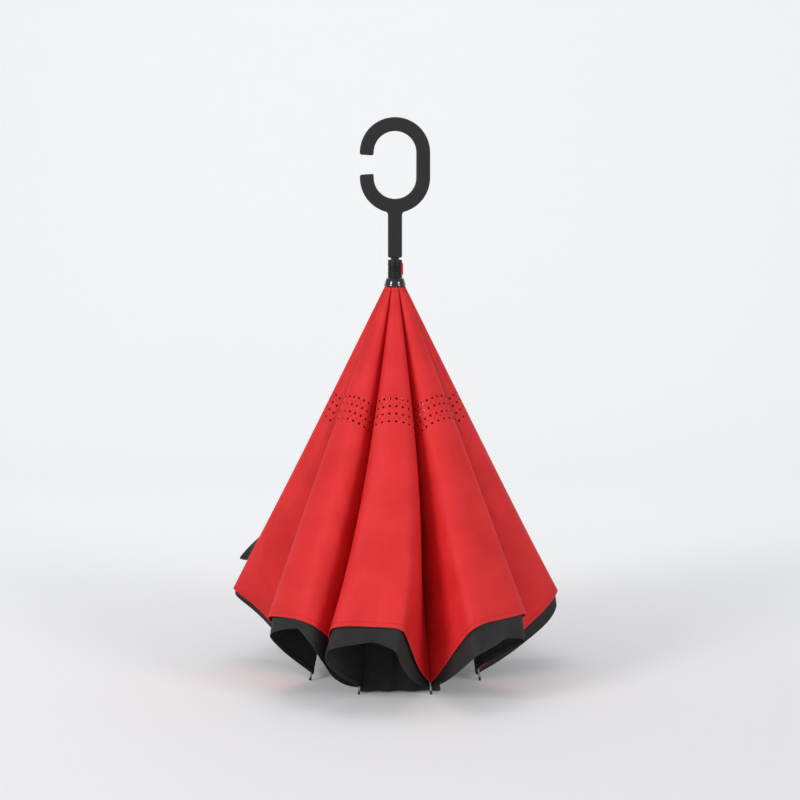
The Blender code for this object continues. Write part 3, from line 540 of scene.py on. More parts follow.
# Stretchers: pressed steel, each with an eye on the crown's ring, a tongue, and two long blades that
# straddle their rib and hold it on a rivet.
STRETCHER_LENGTH = 0.265
STRETCHER_HALF_DEPTH = 0.002
TONGUE_HALF_WIDTH = 0.0015
TONGUE_LENGTH = 0.028
FORK_HALF_SLOT = 0.0022
FORK_BLADE = 0.0012
FORK_ROOT = 0.006
FORK_END = 0.0034
RIVET_RADIUS = 0.0017
RIVET_HALF = 0.004
STRETCHER_LEAN = math.asin(PIVOT_ALONG * math.sin(RIB_LEAN) / STRETCHER_LENGTH)


def add_plate(shape, near, far, low, high, place):
    """A plate of the pressing's depth, between two sides and two heights."""
    add_box(shape, (-STRETCHER_HALF_DEPTH, near, low), (STRETCHER_HALF_DEPTH, far, high), place)


for number in range(1, RIB_COUNT + 1):
    hinge = Matrix.Translation((HINGE_RADIUS, 0, CROWN_HINGE.z))
    place = around(rib_azimuth(number)) @ hinge @ Matrix.Rotation(STRETCHER_LEAN, 4, "Y")
    head = place @ Matrix.Translation((0, 0, STRETCHER_LENGTH)) @ ACROSS
    half_fork = FORK_HALF_SLOT + FORK_BLADE
    half_eye = TONGUE_HALF_WIDTH + SMALL_EDGE / 3
    pressing = bmesh.new()
    add_plate(pressing, -TONGUE_HALF_WIDTH, TONGUE_HALF_WIDTH, 0, TONGUE_LENGTH, place)
    add_plate(pressing, -half_fork, half_fork, TONGUE_LENGTH - FORK_ROOT, TONGUE_LENGTH, place)
    for side in (-1, 1):
        blade = sorted((side * FORK_HALF_SLOT, side * half_fork))
        add_plate(pressing, *blade, TONGUE_LENGTH - SMALL_EDGE, STRETCHER_LENGTH + FORK_END, place)
        rivet = sorted((side * FORK_HALF_SLOT, side * RIVET_HALF))
        add_rod(pressing, RIVET_RADIUS, *rivet, WIRE_STEPS, head)
    add_rod(pressing, STRETCHER_HALF_DEPTH, -half_eye, half_eye, ROD_STEPS, place @ ACROSS)
    round_edges(pressing, SMALL_EDGE, segments=2)
    stretcher = finished(pressing, f"stretcher_arm_{number}", bright_steel)
    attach(stretcher, f"stretcher_{number}")
    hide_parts(f"stretcher_{number}")

# Black outer layer: pongee cloth, which is the outside of the open umbrella and is folded away inside
# the closed one. Each gore runs from the crown up round the stretchers, over a fold, and down under
# the ribs to a folded and stitched hem that shows below the red layer. Each half gore is two pieces.
CLOTH_TOP = 0.562
RIDGE_TOP_RADIUS = 0.0145
RIDGE_SLOPE = 0.493
CROWN_SHARE = 0.56
SECTION_SAMPLES = 400
STEEPEST = 0.9
LEAST_FALL = 0.25
FALL_PASSES = 6
EVEN_CELLS_DROP = 0.45
# The powers of the hem's curve from rib to ridge. Two half gores have their own: beside the front gore
# the black layer hangs lower, and at the left corner it is drawn up.
BLACK_SCALLOP = (1.0, 1.2)
OWN_SCALLOPS = {(6, -1): (2.0, 1.0), (5, -1): (1.0, 1.4)}
GORE_HALF_ANGLE = math.radians(21.65)
RED_RIDGE_LENGTH = 0.5
BLACK_BELOW_RED = {1: 0.02, 2: 0.016, 3: 0.02, 4: 0.006, 5: 0.015, 6: 0.024, 7: 0.034, 8: 0.016}
BLACK_TURN = 0.75
BLACK_RIB_LENGTH = 0.5665
BLACK_UNDER_RIB = 0.0024
BLACK_SEAM_GAP = 0.0004
BLACK_BESIDE_RIB = 0.0029
BLACK_UNDER_RED = 0.0045
BLACK_START_LENGTH = 0.2225
BLACK_START_PARTS = (0, 0.25, 0.5, 0.75)
BLACK_START_RISE = 0.005
BLACK_START_STEP = 0.0095
BLACK_START_ROWS = 6
BLACK_MIDDLE_ROWS = 20
FORK_ROOM = 0.0031
FORK_REACH = 0.022
FORK_EASE = 0.01
FORK_OPENING = 0.0175
FUNNEL_BOTTOM = 0.0625
FUNNEL_BOTTOM_RADIUS = 0.0139
FUNNEL_SLOPE = 0.4877
FUNNEL_CROWN = 0.6
FUNNEL_STAND = 0.0026
FUNNEL_SPREAD = 0.012
FUNNEL_RIB_TOP = 0.298
FUNNEL_RIDGE_TOP = 0.286
FUNNEL_ROWS = 14
FUNNEL_HALF_ANGLE = math.radians(18.2)
HEM_STEPS = (0.0078, 0.007, 0.0035, 0.0)
FOLDED_ROWS = 3
HEM_WIDTH = 0.007
CLOTH_THICKNESS = 0.0009
SINGLE_SHARE = 0.4
CORNER_WEIGHT = 80
CELLS = 15
LAST_CELL = 0.5
HANG_POWER = 2.3
RIPPLE_HEIGHT = 0.0012
RIPPLE_WAVES = 2.2
RIPPLE_TWIST = 9.0
RIPPLE_PHASE = 2.4
RIPPLE_MARGIN = 0.1
TURN_SAMPLES = 101
SMALLEST_LENGTH = 1e-9
# How each gore hangs at its hem: how far its middle leans aside, how much that turns its crown, and
# the length of its middle. The front gore (6) is pushed to the left, over the one beside it.
GORE_LEANS = {1: 0.015, 2: -0.012, 3: 0.01, 4: -0.055, 5: 0.035, 6: -0.028, 7: 0.0, 8: 0.052}
GORE_TILTS = {1: 0.5, 2: 0.5, 3: 0.5, 4: 1.0, 5: 0.6, 6: 0.9, 7: 0.5, 8: 0.6}
GORE_LENGTHS = {1: 0.496, 2: 0.5, 3: 0.494, 4: 0.504, 5: 0.489, 6: 0.489, 7: 0.49, 8: 0.5}
# For a gore's two halves: the breadth of its crown, as a share of the usual one, the angle at which
# it leaves its rib, and how far it goes that way before it bends.
GORE_CROWNS = {
    1: (1.1, 0.9), 2: (0.9, 1.1), 3: (1.2, 1.0), 4: (0.8, 0.9),
    5: (1.6, 1.1), 6: (1.35, 1.0), 7: (1.7, 1.7), 8: (1.0, 0.9),
}
GORE_VALLEYS = {
    1: (0.2, 0.0), 2: (0.0, 0.2), 3: (0.1, 0.1), 4: (0.1, 1.0),
    5: (0.2, 0.3), 6: (-0.1, 0.6), 7: (0.0, 1.0), 8: (0.6, 0.0),
}
GORE_ARMS = {
    1: (1.0, 0.9), 2: (0.9, 1.0), 3: (0.9, 0.9), 4: (1.0, 1.3),
    5: (0.7, 0.6), 6: (1.3, 1.3), 7: (1.4, 0.5), 8: (1.2, 0.9),
}
TOP_ARM = 0.9
OUTWARD = np.array([math.cos(HALF_SECTOR), math.sin(HALF_SECTOR)])
SIDEWAYS = np.array([-math.sin(HALF_SECTOR), math.cos(HALF_SECTOR)])
PIVOT_HEIGHT = RIB_HINGE.z - PIVOT_ALONG * math.cos(RIB_LEAN)
# every half gore: the number of its rib, the side of the rib that it hangs on, and its letter
HALF_GORES = [
    (number, side, word) for number in range(1, RIB_COUNT + 1) for side, word in ((1, "a"), (-1, "b"))
]


def hung_share(length):
    """How much of a gore's own shape it has at this length of cloth: none at the runner."""
    return np.clip(length / RED_RIDGE_LENGTH, 0, None) ** HANG_POWER


def gore_of(number, side):
    """The gore that half of a rib's cloth belongs to: gore 1 lies between ribs 1 and 2."""
    return number if side > 0 else (number - 2) % RIB_COUNT + 1


def crown_way(lean, tilt, ridge):
    """The way that the cloth runs over the middle of a gore, as (outward, sideways)."""
    angle = -tilt * lean / ridge
    return np.outer(np.cos(angle), SIDEWAYS) + np.outer(np.sin(angle), OUTWARD)


def section(start, beside, ridge, share, lean=0.0, tilt=0.0, crown=1.0, valley=0.0, arm=TOP_ARM):
    """Points of half a gore's section in its rib's frame, as (outward, sideways), one for each share.

    The cloth leaves the rib at its valley's angle and meets the middle of the gore along its crown."""
    whole = np.ones(share.shape)
    lean = lean * whole
    first = np.stack([start, beside], axis=-1)
    last = np.outer(ridge, OUTWARD) + np.outer(lean, SIDEWAYS)
    way = np.stack([np.cos(valley * whole), np.sin(valley * whole)], axis=-1)
    leave = first + way * (arm * (ridge - start))[:, None]
    reach = crown * CROWN_SHARE * ridge * math.sin(HALF_SECTOR)
    meet = last - crown_way(lean, tilt, ridge) * reach[:, None]
    share = share[:, None]
    rest = 1 - share
    return first * rest**3 + leave * 3 * rest**2 * share + meet * 3 * rest * share**2 + last * share**3


def even_shares(cells, last_cell, start, beside, ridge):
    """Shares that split a section into equal cells of cloth, but for a narrow one at the ridge."""
    fine = np.linspace(0, 1, SECTION_SAMPLES)
    same = np.ones(SECTION_SAMPLES)
    points = section(same * start, same * beside, same * ridge, fine)
    run = np.append(0, np.cumsum(np.linalg.norm(np.diff(points, axis=0), axis=1)))
    places = np.append(np.arange(cells + 1), cells + last_cell) / (cells + last_cell)
    return places, np.interp(places * run[-1], run, fine)


def hang(place, lengths):
    """The height that each thread of cloth reaches, row by row, from the runner down."""
    heights = np.full(lengths.shape, CLOTH_TOP)
    for row in range(1, len(lengths)):
        step = lengths[row] - lengths[row - 1]
        before = place(heights[row - 1], lengths[row - 1])
        drop = step * STEEPEST
        for _ in range(FALL_PASSES):
            slide = np.linalg.norm(place(heights[row - 1] - drop, lengths[row]) - before, axis=1)
            drop = np.sqrt(np.maximum(step**2 - slide**2, (step * LEAST_FALL) ** 2))
        heights[row] = heights[row - 1] - drop
    return heights


def in_world(number, side, points, heights):
    """From sections in a rib's frame to points in the world."""
    angle = rib_azimuth(number)
    outward = points[..., 0]
    sideways = points[..., 1] * side
    x = outward * math.cos(angle) - sideways * math.sin(angle)
    y = outward * math.sin(angle) + sideways * math.cos(angle)
    return np.stack([x, y, heights], axis=-1)


def half_gore(number, side, lengths, shares, start, beside, ridge):
    """Half a gore in the world, as rows of points: threads of cloth hung from the runner."""
    gore = gore_of(number, side)
    half = 0 if side > 0 else 1
    lean = side * GORE_LEANS[gore]
    tilt = GORE_TILTS[gore]

    def place(heights, along):
        hung = hung_share(along)
        return section(
            start(heights), beside(heights), ridge(heights), shares,
            lean=lean * hung,
            tilt=tilt,
            crown=1 + (GORE_CROWNS[gore][half] - 1) * hung,
            valley=GORE_VALLEYS[gore][half] * hung,
            arm=TOP_ARM + (GORE_ARMS[gore][half] - TOP_ARM) * hung,
        )

    heights = hang(place, lengths)
    points = np.stack([place(*row) for row in zip(heights, lengths)])
    middle = np.array([ridge(row)[-1] for row in heights])
    meeting = crown_way(lean * hung_share(lengths[:, -1]), tilt, middle)
    reach = np.linalg.norm(points[:, -1] - points[:, -2], axis=1)
    points[:, -2] = points[:, -1] - meeting * reach[:, None]
    along_section = np.gradient(points, axis=1)
    along_section /= np.linalg.norm(along_section, axis=2, keepdims=True) + SMALLEST_LENGTH
    facing = np.stack([along_section[..., 1], -along_section[..., 0]], axis=-1)
    phase = RIPPLE_PHASE * (2 * number + (side > 0))
    wave = np.sin(RIPPLE_WAVES * 2 * math.pi * shares + phase + RIPPLE_TWIST * np.sin(phase) * lengths)
    window = np.clip(4 * shares * (1 - shares) - RIPPLE_MARGIN, 0, None)
    points += facing * (RIPPLE_HEIGHT * wave * window * (lengths / RED_RIDGE_LENGTH) ** 2)[..., None]
    return in_world(number, side, points, heights)


def rib_radius(height):
    return HINGE_RADIUS + (RIB_HINGE.z - height) * math.tan(RIB_LEAN)


def red_ridge(height):
    return RIDGE_TOP_RADIUS + (CLOTH_TOP - height) * RIDGE_SLOPE


def scallop(rib_length, ridge_length, across, powers):
    """The length of cloth down to the hem, from the rib at 0 to the middle of the gore at 1."""
    return ridge_length + (rib_length - ridge_length) * (1 - across ** powers[0]) ** powers[1]


def cloth_shape(points, flat, edges, side):
    """A grid of cloth. Its UV maps hold its flat place, and its distances from the rib and the hem."""
    down, over = points.shape[:2]
    shape = bmesh.new()
    bmesh.ops.create_grid(shape, x_segments=over - 1, y_segments=down - 1, size=1)
    maps = [(shape.loops.layers.uv.new("flat"), flat), (shape.loops.layers.uv.new("edges"), edges)]
    shape.verts.index_update()
    for vertex in shape.verts:
        vertex.co = points[divmod(vertex.index, over)]
    for face in shape.faces:
        for loop in face.loops:
            for layer, values in maps:
                loop[layer].uv = values[divmod(loop.vert.index, over)]
    if side > 0:
        bmesh.ops.reverse_faces(shape, faces=shape.faces)
    return shape


def gore_cloth(number, side, points, lengths, across, half_angle, to_hem):
    """Half a gore as a grid of cloth, with each gore cut from its own part of the flat cloth."""
    angle = half_angle * (1 - across)
    aside = side * lengths * np.sin(angle)
    flat = np.stack([aside, lengths * np.cos(angle) + gore_of(number, side)], axis=-1)
    edges = np.stack([lengths * np.sin(half_angle * across), to_hem], axis=-1)
    return cloth_shape(points, flat, edges, side)


def face_at(shape):
    """The faces of a grid by the number of their first corner."""
    return {min(corner.index for corner in face.verts): face for face in shape.faces}


def folded_corners(down, over):
    """The corners of the rows of a grid that lie in its folded hem."""
    return list(range((down - FOLDED_ROWS) * over, down * over))


def as_cloth(shape, name, material, hem_corners, levels):
    """Finishes a sheet: smooth, and thicker at the corners where its hem is folded over."""
    piece = finished(shape, name, material, smooth_angle=math.pi)
    smooth = piece.modifiers.new("smooth", "SUBSURF")
    smooth.levels = smooth.render_levels = levels
    smooth.boundary_smooth = "PRESERVE_CORNERS"
    thick = piece.modifiers.new("thickness", "SOLIDIFY")
    thick.offset = -1
    thick.thickness = CLOTH_THICKNESS
    folded = piece.vertex_groups.new(name="folded hem")
    folded.add(hem_corners, 1.0, "REPLACE")
    thick.vertex_group = folded.name
    thick.thickness_vertex_group = SINGLE_SHARE
    even = piece.modifiers.new("even shading", "WEIGHTED_NORMAL")
    even.mode = "FACE_AREA"
    even.weight = CORNER_WEIGHT
    return piece


def spread_when_open(piece, joint_name, seam, along, number, side, slope, up):
    """Bakes half a gore's place into its mesh, and works out for each point a share of its fold's turn.

    That is the share that brings the point into the flat open panel, which goes through the seam, along the
    rib or stretcher, and through the middle of the gore. The shares are not used."""
    joint = joints[joint_name]
    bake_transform(piece)
    centre = np.array(joint["pos_m"])
    axis = np.array(joint["axis"])
    axis = axis / np.linalg.norm(axis)
    full = math.radians(sum(joint["range_deg"]))
    middle_angle = rib_azimuth(number) + side * HALF_SECTOR
    middle = Vector((math.cos(middle_angle) * slope, math.sin(middle_angle) * slope, up))
    opened = Matrix.Rotation(full, 3, Vector(axis)) @ middle
    normal = np.array(Vector(along).cross(opened).normalized())
    points = np.array([vertex.co for vertex in piece.data.vertices]) - centre
    shares = np.linspace(0, 1, TURN_SAMPLES)
    turned_by = (shares * full)[:, None]
    level = (points @ normal) * np.cos(turned_by)
    level += (np.cross(axis, points) @ normal) * np.sin(turned_by)
    level += (points @ axis) * (axis @ normal) * (1 - np.cos(turned_by))
    level -= level[0][seam].mean()
    crossing = level[:-1] * level[1:] <= 0
    first = crossing.argmax(axis=0)
    nearest = shares[np.abs(level).argmin(axis=0)]


def spread_with_rib(piece, number, side, word, rows, over):
    """Bakes half a gore of either layer into its mesh, and works out its fold's shares, which are not used.
    """
    spread_when_open(
        piece, f"red_gore_{number}{word}_unfold", slice(0, rows * over, over),
        rib_place(number).to_3x3() @ Vector((0, 0, -1)), number, side, RIDGE_SLOPE, -1,
    )


THREAD_PITCH = 0.00034
THREAD_HALF_WIDTH = 0.00022
STITCH_PITCH = 0.0026
STITCH_SHARE = 0.72
STITCH_FROM_HEM = 0.0058
STITCH_FROM_RIB = 0.0016
HEM_BLUR = 0.0006
CREASES_PER_METRE = 17.0
FINE_CREASES_PER_METRE = 95.0
FINE_CREASES_SHARE = 0.14
CREASE_DEPTH = 0.004
HEM_DEPTH = 0.0005
STITCH_DEPTH = 0.0003
WEAVE_DEPTH = 0.00002


def threads(tree, along):
    """A wave with the pitch of the cloth's threads."""
    return maths(tree, "SINE", maths(tree, "MULTIPLY", along, 2 * math.pi / THREAD_PITCH))


def stitches(tree, from_edge, distance, along):
    """A dashed line of thread at a distance from an edge of the cloth."""
    line = maths(tree, "COMPARE", from_edge, distance, THREAD_HALF_WIDTH)
    place = maths(tree, "FRACT", maths(tree, "MULTIPLY", along, 1 / STITCH_PITCH))
    return maths(tree, "MULTIPLY", line, maths(tree, "LESS_THAN", place, STITCH_SHARE))


def woven_pongee():
    """Pongee cloth: its plain weave, its soft creases, and the stitches along its hem and its rib."""
    tree, given, result = new_group(
        "Woven pongee", {"Flat place": "NodeSocketVector", "Edge distances": "NodeSocketVector"},
        ("Weave", "Creases", "Hem fold", "Stitches"),
    )
    flat = add_node(tree, "ShaderNodeSeparateXYZ", {"Vector": given["Flat place"]}).outputs
    edges = add_node(tree, "ShaderNodeSeparateXYZ", {"Vector": given["Edge distances"]}).outputs
    soft = add_node(
        tree, "ShaderNodeTexNoise",
        {"Vector": given["Flat place"], "Scale": CREASES_PER_METRE, "Detail": 2.0, "Roughness": 0.45,
         "Distortion": 0.4},
    )
    fine = add_node(
        tree, "ShaderNodeTexNoise",
        {"Vector": given["Flat place"], "Scale": FINE_CREASES_PER_METRE, "Detail": 3.0, "Roughness": 0.5,
         "Distortion": 0.6},
    )
    fine_part = maths(tree, "MULTIPLY", fine.outputs["Fac"], FINE_CREASES_SHARE)
    fold = add_node(
        tree, "ShaderNodeMapRange",
        {"Value": edges["Y"], "From Min": HEM_WIDTH - HEM_BLUR, "From Max": HEM_WIDTH + HEM_BLUR,
         "To Min": 1.0, "To Max": 0.0},
        interpolation_type="SMOOTHSTEP",
    )
    hem_stitches = stitches(tree, edges["Y"], STITCH_FROM_HEM, flat["X"])
    seam_stitches = stitches(tree, edges["X"], STITCH_FROM_RIB, flat["Y"])
    set_inputs(
        tree, result,
        {"Weave": maths(tree, "MULTIPLY", threads(tree, flat["X"]), threads(tree, flat["Y"])),
         "Creases": maths(tree, "ADD", soft.outputs["Fac"], fine_part), "Hem fold": fold.outputs["Result"],
         "Stitches": maths(tree, "MAXIMUM", hem_stitches, seam_stitches)},
    )
    return tree


PONGEE = woven_pongee()


def pongee(name, colour, deep, thread, roughness, sheen):
    """Pongee of one colour, with painted shade in the low parts of its creases and thread for its stitches.
    """
    material, tree, shader = new_material(name)
    flat = add_node(tree, "ShaderNodeUVMap", {}, uv_map="flat").outputs["UV"]
    edges = add_node(tree, "ShaderNodeUVMap", {}, uv_map="edges").outputs["UV"]
    cloth = add_node(
        tree, "ShaderNodeGroup", {"Flat place": flat, "Edge distances": edges}, node_tree=PONGEE
    ).outputs
    # painted shade: where the crease bump is low, the cloth takes the darker colour
    crease_shade_mask = add_node(
        tree, "ShaderNodeMapRange", {"Value": cloth["Creases"], "From Min": 0.4, "From Max": 0.72}
    )
    base = mix_colours(tree, crease_shade_mask.outputs["Result"], (*deep, 1), (*colour, 1))
    sewn = mix_colours(tree, cloth["Stitches"], base, (*thread, 1))
    bumps = {"Creases": CREASE_DEPTH, "Hem fold": HEM_DEPTH, "Stitches": STITCH_DEPTH, "Weave": WEAVE_DEPTH}
    below = {}
    for height, depth in bumps.items():
        bump = add_node(tree, "ShaderNodeBump", {"Height": cloth[height], "Distance": depth, **below})
        below = {"Normal": bump.outputs["Normal"]}
    set_inputs(
        tree, shader,
        {"Base Color": sewn, "Roughness": roughness, "Specular IOR Level": 0.3, "Sheen Weight": sheen,
         "Sheen Roughness": 0.4, "Sheen Tint": (*colour, 1), **below},
    )
    return material


# the second colour is the painted shade in the creases
black_pongee = pongee(
    "black pongee", (0.021, 0.0205, 0.0205), (0.017, 0.0165, 0.0165), (0.045, 0.043, 0.042), 0.72, 0.0
)


def black_start(heights):
    return rib_radius(heights) - BLACK_UNDER_RIB


def black_beside(heights):
    """How far the cloth stays aside of its rib, and of the fork that holds the rib."""
    room = np.clip((FORK_REACH - np.abs(heights - PIVOT_HEIGHT)) / FORK_EASE, 0, 1) * FORK_ROOM
    beside = BLACK_BESIDE_RIB + room
    beside[0] = 0
    return beside


def black_ridge(heights, red_hem):
    """The black cloth lies close under the red one down to its hem, and turns inward below that."""
    below = np.clip(red_hem - heights, 0, None)
    return red_ridge(heights) - BLACK_UNDER_RED - below * BLACK_TURN * black_across**3


def funnel_ridge(heights):
    return FUNNEL_BOTTOM_RADIUS + (heights - FUNNEL_BOTTOM) * FUNNEL_SLOPE


def hem_lengths(rib_length, ridge_length, across, upper, rows, powers):
    """Lengths of cloth from given upper rows down to the rows of the hem."""
    end = scallop(rib_length, ridge_length, across, powers)
    last = upper[-1]
    span = end - HEM_STEPS[0] - last
    middle = [last + span * row / (rows + 1) for row in range(1, rows + 1)]
    return np.stack([*upper, *middle, *[end - step for step in HEM_STEPS]])


low_height = CLOTH_TOP - EVEN_CELLS_DROP
across_cells, fold_shares = even_shares(
    CELLS, LAST_CELL, float(rib_radius(low_height)), BLACK_BESIDE_RIB, float(red_ridge(low_height))
)
# the black cloth has one more thread, which runs under the rib itself
black_across = np.append(0, across_cells)
black_shares = np.append(0, fold_shares)
black_over = len(black_shares)
start_lengths = BLACK_START_LENGTH + BLACK_START_RISE * black_across
before_start = [start_lengths * part for part in BLACK_START_PARTS]
upper = before_start + [start_lengths + BLACK_START_STEP * row for row in range(BLACK_START_ROWS)]

# the inner part has the same section round every stretcher
climbs = np.linspace(0, 1, FUNNEL_ROWS)[:, None]
funnel_tops = FUNNEL_RIB_TOP + (FUNNEL_RIDGE_TOP - FUNNEL_RIB_TOP) * black_across
funnel_heights = FUNNEL_BOTTOM + (funnel_tops - FUNNEL_BOTTOM) * climbs
funnel_lengths = (funnel_heights - FUNNEL_BOTTOM) * np.hypot(1, FUNNEL_SLOPE * black_across)
funnel_rows = []
for row in funnel_heights:
    beside = BLACK_SEAM_GAP + FUNNEL_SPREAD * (row - FUNNEL_BOTTOM) / (PIVOT_HEIGHT - FUNNEL_BOTTOM)
    beside[0] = 0
    start = HINGE_RADIUS + (row - CROWN_HINGE.z) * math.tan(STRETCHER_LEAN) + FUNNEL_STAND
    funnel_rows.append(section(start, beside, funnel_ridge(row), black_shares, crown=FUNNEL_CROWN))

for number, side, word in HALF_GORES:
    red_length = GORE_LENGTHS[gore_of(number, side)]
    lengths = hem_lengths(
        BLACK_RIB_LENGTH, red_length + BLACK_BELOW_RED[gore_of(number, side)], black_across, upper,
        BLACK_MIDDLE_ROWS, OWN_SCALLOPS.get((number, side), BLACK_SCALLOP),
    )
    ridge = partial(black_ridge, red_hem=CLOTH_TOP - red_length / math.hypot(1, RIDGE_SLOPE))
    points = half_gore(number, side, lengths, black_shares, black_start, black_beside, ridge)
    points = points[len(before_start):]
    lengths = lengths[len(before_start):]
    down = len(lengths)
    to_hem = lengths[-1] - lengths
    shape = gore_cloth(number, side, points, lengths, black_across, GORE_HALF_ANGLE, to_hem)
    faces = face_at(shape)
    over_fork = [
        faces[row * black_over]
        for row in range(down - 1)
        if abs(points[row : row + 2, 0, 2].mean() - PIVOT_HEIGHT) < FORK_OPENING
    ]
    bmesh.ops.delete(shape, geom=over_fork, context="FACES_ONLY")
    hem = folded_corners(down, black_over)
    cloth = as_cloth(shape, f"black_cloth_{number}{word}", black_pongee, hem, 1)
    spread_with_rib(cloth, number, side, word, down, black_over)
    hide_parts(f"outer_canopy_{number}{word}")

    points = in_world(number, side, np.stack(funnel_rows), funnel_heights)
    no_hem = np.ones(funnel_lengths.shape)
    shape = gore_cloth(number, side, points, funnel_lengths, black_across, FUNNEL_HALF_ANGLE, no_hem)
    # it has no hem, but the group has to hold a corner for the rest to get the share of a single layer
    funnel = as_cloth(shape, f"black_funnel_{number}{word}", black_pongee, [0], 1)
    up_stretcher = Vector((math.sin(STRETCHER_LEAN), 0, math.cos(STRETCHER_LEAN)))
    spread_when_open(
        funnel, f"black_gore_{number}{word}_unfold", slice(0, FUNNEL_ROWS * black_over, black_over),
        around(rib_azimuth(number)).to_3x3() @ up_stretcher, number, side, FUNNEL_SLOPE, 1,
    )
    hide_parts(f"outer_canopy_{number}{word}")

# Slack of the black layer: the cloth that's left over between the crown and the folds. It sags to the
# floor round the stretchers, and furthest forward under the front gore, where it's seen as a dark fold.
# It is also painted shade: a dark sheet spread between the front tips over floor that would show lit there.
SLACK_ROWS = 16
SLACK_COLUMNS = 120
SLACK_TOP = 0.11
SLACK_FRONT_TOP = 0.17
SLACK_OFF_FUNNEL = 0.004
SLACK_FOOT = 0.05
SLACK_FRONT_FOOT = 0.116
SLACK_FLOOR = 0.003
SLACK_BELLY = 0.005
SLACK_PLEAT = 0.0028
SLACK_PLEATS = 23
SLACK_UNEVEN = 2
SLACK_UNEVEN_WAVES = 3
SLACK_STRAIGHT = 0.5
FRONT = math.radians(-87)
FRONT_WIDTH = (math.radians(27.5), math.radians(34))

turns = np.linspace(0, 2 * math.pi, SLACK_COLUMNS + 1)
from_front = np.abs((turns - FRONT + math.pi) % (2 * math.pi) - math.pi)
edge = np.clip((FRONT_WIDTH[1] - from_front) / (FRONT_WIDTH[1] - FRONT_WIDTH[0]), 0, 1)
forward = edge * edge * (3 - 2 * edge)
slack_tops = SLACK_TOP + (SLACK_FRONT_TOP - SLACK_TOP) * forward
front_foot = SLACK_FRONT_FOOT / np.cos(np.minimum(from_front, SLACK_STRAIGHT))
foot_radius = SLACK_FOOT + (front_foot - SLACK_FOOT) * forward
top_radius = funnel_ridge(slack_tops) + SLACK_OFF_FUNNEL
falls = np.linspace(0, 1, SLACK_ROWS)[:, None]
uneven = SLACK_UNEVEN * np.sin(SLACK_UNEVEN_WAVES * turns)
pleats = SLACK_PLEAT * np.sin(SLACK_PLEATS * turns + uneven) * falls
belly = SLACK_BELLY * np.sin(math.pi * falls) * forward
out = top_radius + (foot_radius - top_radius) * falls + belly + pleats
heights = slack_tops + (SLACK_FLOOR - slack_tops) * falls
points = np.stack([out * np.cos(turns), out * np.sin(turns), heights], axis=-1)
flat = np.stack([out * turns, heights], axis=-1)
slack_and_shade_shape = cloth_shape(points, flat, np.ones(flat.shape), -1)
bmesh.ops.remove_doubles(slack_and_shade_shape, verts=slack_and_shade_shape.verts, dist=SAME_PLACE)
# the slack cloth, which is also a dark sheet standing in for the shade under the umbrella
slack_and_shade_sheet = as_cloth(slack_and_shade_shape, "black_slack_and_shade", black_pongee, [0], 1)
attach(slack_and_shade_sheet, "frame")
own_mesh(slack_and_shade_sheet)

# Red inner layer: eight gores of red pongee sewn over the ribs, which hang in deep folds between them
# when the umbrella is closed. Two bands of laser-cut holes near the runner let wind through, and a
# folded hem is stitched along the lower edge.
RED_RIB_LENGTH = 0.5575
RED_STAND = 0.0027
RED_SCALLOP = (1.0, 2.1)
SEAM_GAP = 0.0005
RED_TOP_ROWS = (0.0, 0.006, 0.02, 0.036, 0.052, 0.068, 0.084, 0.1, 0.116, 0.132, 0.148, 0.162, 0.172)
BAND_ROWS = (0.1786, 0.1834, 0.1906, 0.1954, 0.2026, 0.2074, 0.2146, 0.2194, 0.23)
BAND_RISE = 0.083
BAND_DROP = 0.1
ARCH_POWER = 1.5
LAST_HOLE = 13
# For the big and the small holes: their rows in the bands, whether they go in the odd cells (1) or the
# even ones (0) counted from the ridge, and how far their corners lie from their middle.
HOLES = (((0, 2, 4, 6), 1, 0.0025), ((1, 5), 0, 0.0013))
RED_MIDDLE_ROWS = 21
# the second colour is the painted shade in the creases
red_pongee = pongee(
    "red pongee", (0.70, 0.020, 0.022), (0.62, 0.014, 0.016), (0.52, 0.016, 0.018), 0.62, 0.1
)


def red_start(heights):
    return rib_radius(heights) + RED_STAND


def red_beside(heights):
    beside = np.full(heights.shape, SEAM_GAP)
    beside[0] = 0
    return beside


def punch(shape, faces, row, odd, corner):
    """Cuts a row of round holes, in every second cell of cloth counted from the ridge."""
    for cell in range(red_over - 1):
        place = red_over - 2 - cell
        if place < 1 or place > LAST_HOLE or place % 2 != odd:
            continue
        face = faces[row * red_over + cell]
        bmesh.ops.inset_individual(shape, faces=[face], thickness=corner / 2, use_even_offset=True)
        middle = face.calc_center_median()
        for spot in face.verts:
            spot.co = middle + (spot.co - middle).normalized() * corner
        shape.faces.remove(face)


red_over = len(fold_shares)
# the bands of holes arch up over the middle of each gore
arch = 1 - BAND_RISE + BAND_DROP * (1 - across_cells) ** ARCH_POWER
upper = [arch * length for length in RED_TOP_ROWS + BAND_ROWS]
for number, side, word in HALF_GORES:
    ridge_length = GORE_LENGTHS[gore_of(number, side)]
    lengths = hem_lengths(
        RED_RIB_LENGTH, ridge_length, across_cells, upper, RED_MIDDLE_ROWS, RED_SCALLOP
    )
    down = len(lengths)
    to_hem = lengths[-1] - lengths
    points = half_gore(number, side, lengths, fold_shares, red_start, red_beside, red_ridge)
    shape = gore_cloth(number, side, points, lengths, across_cells, GORE_HALF_ANGLE, to_hem)
    faces = face_at(shape)
    for rows, odd, corner in HOLES:
        for row in rows:
            punch(shape, faces, len(RED_TOP_ROWS) + row, odd, corner)
    hem = folded_corners(down, red_over)
    cloth = as_cloth(shape, f"red_cloth_{number}{word}", red_pongee, hem, 2)
    spread_with_rib(cloth, number, side, word, down, red_over)
    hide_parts(f"inner_canopy_{number}{word}")

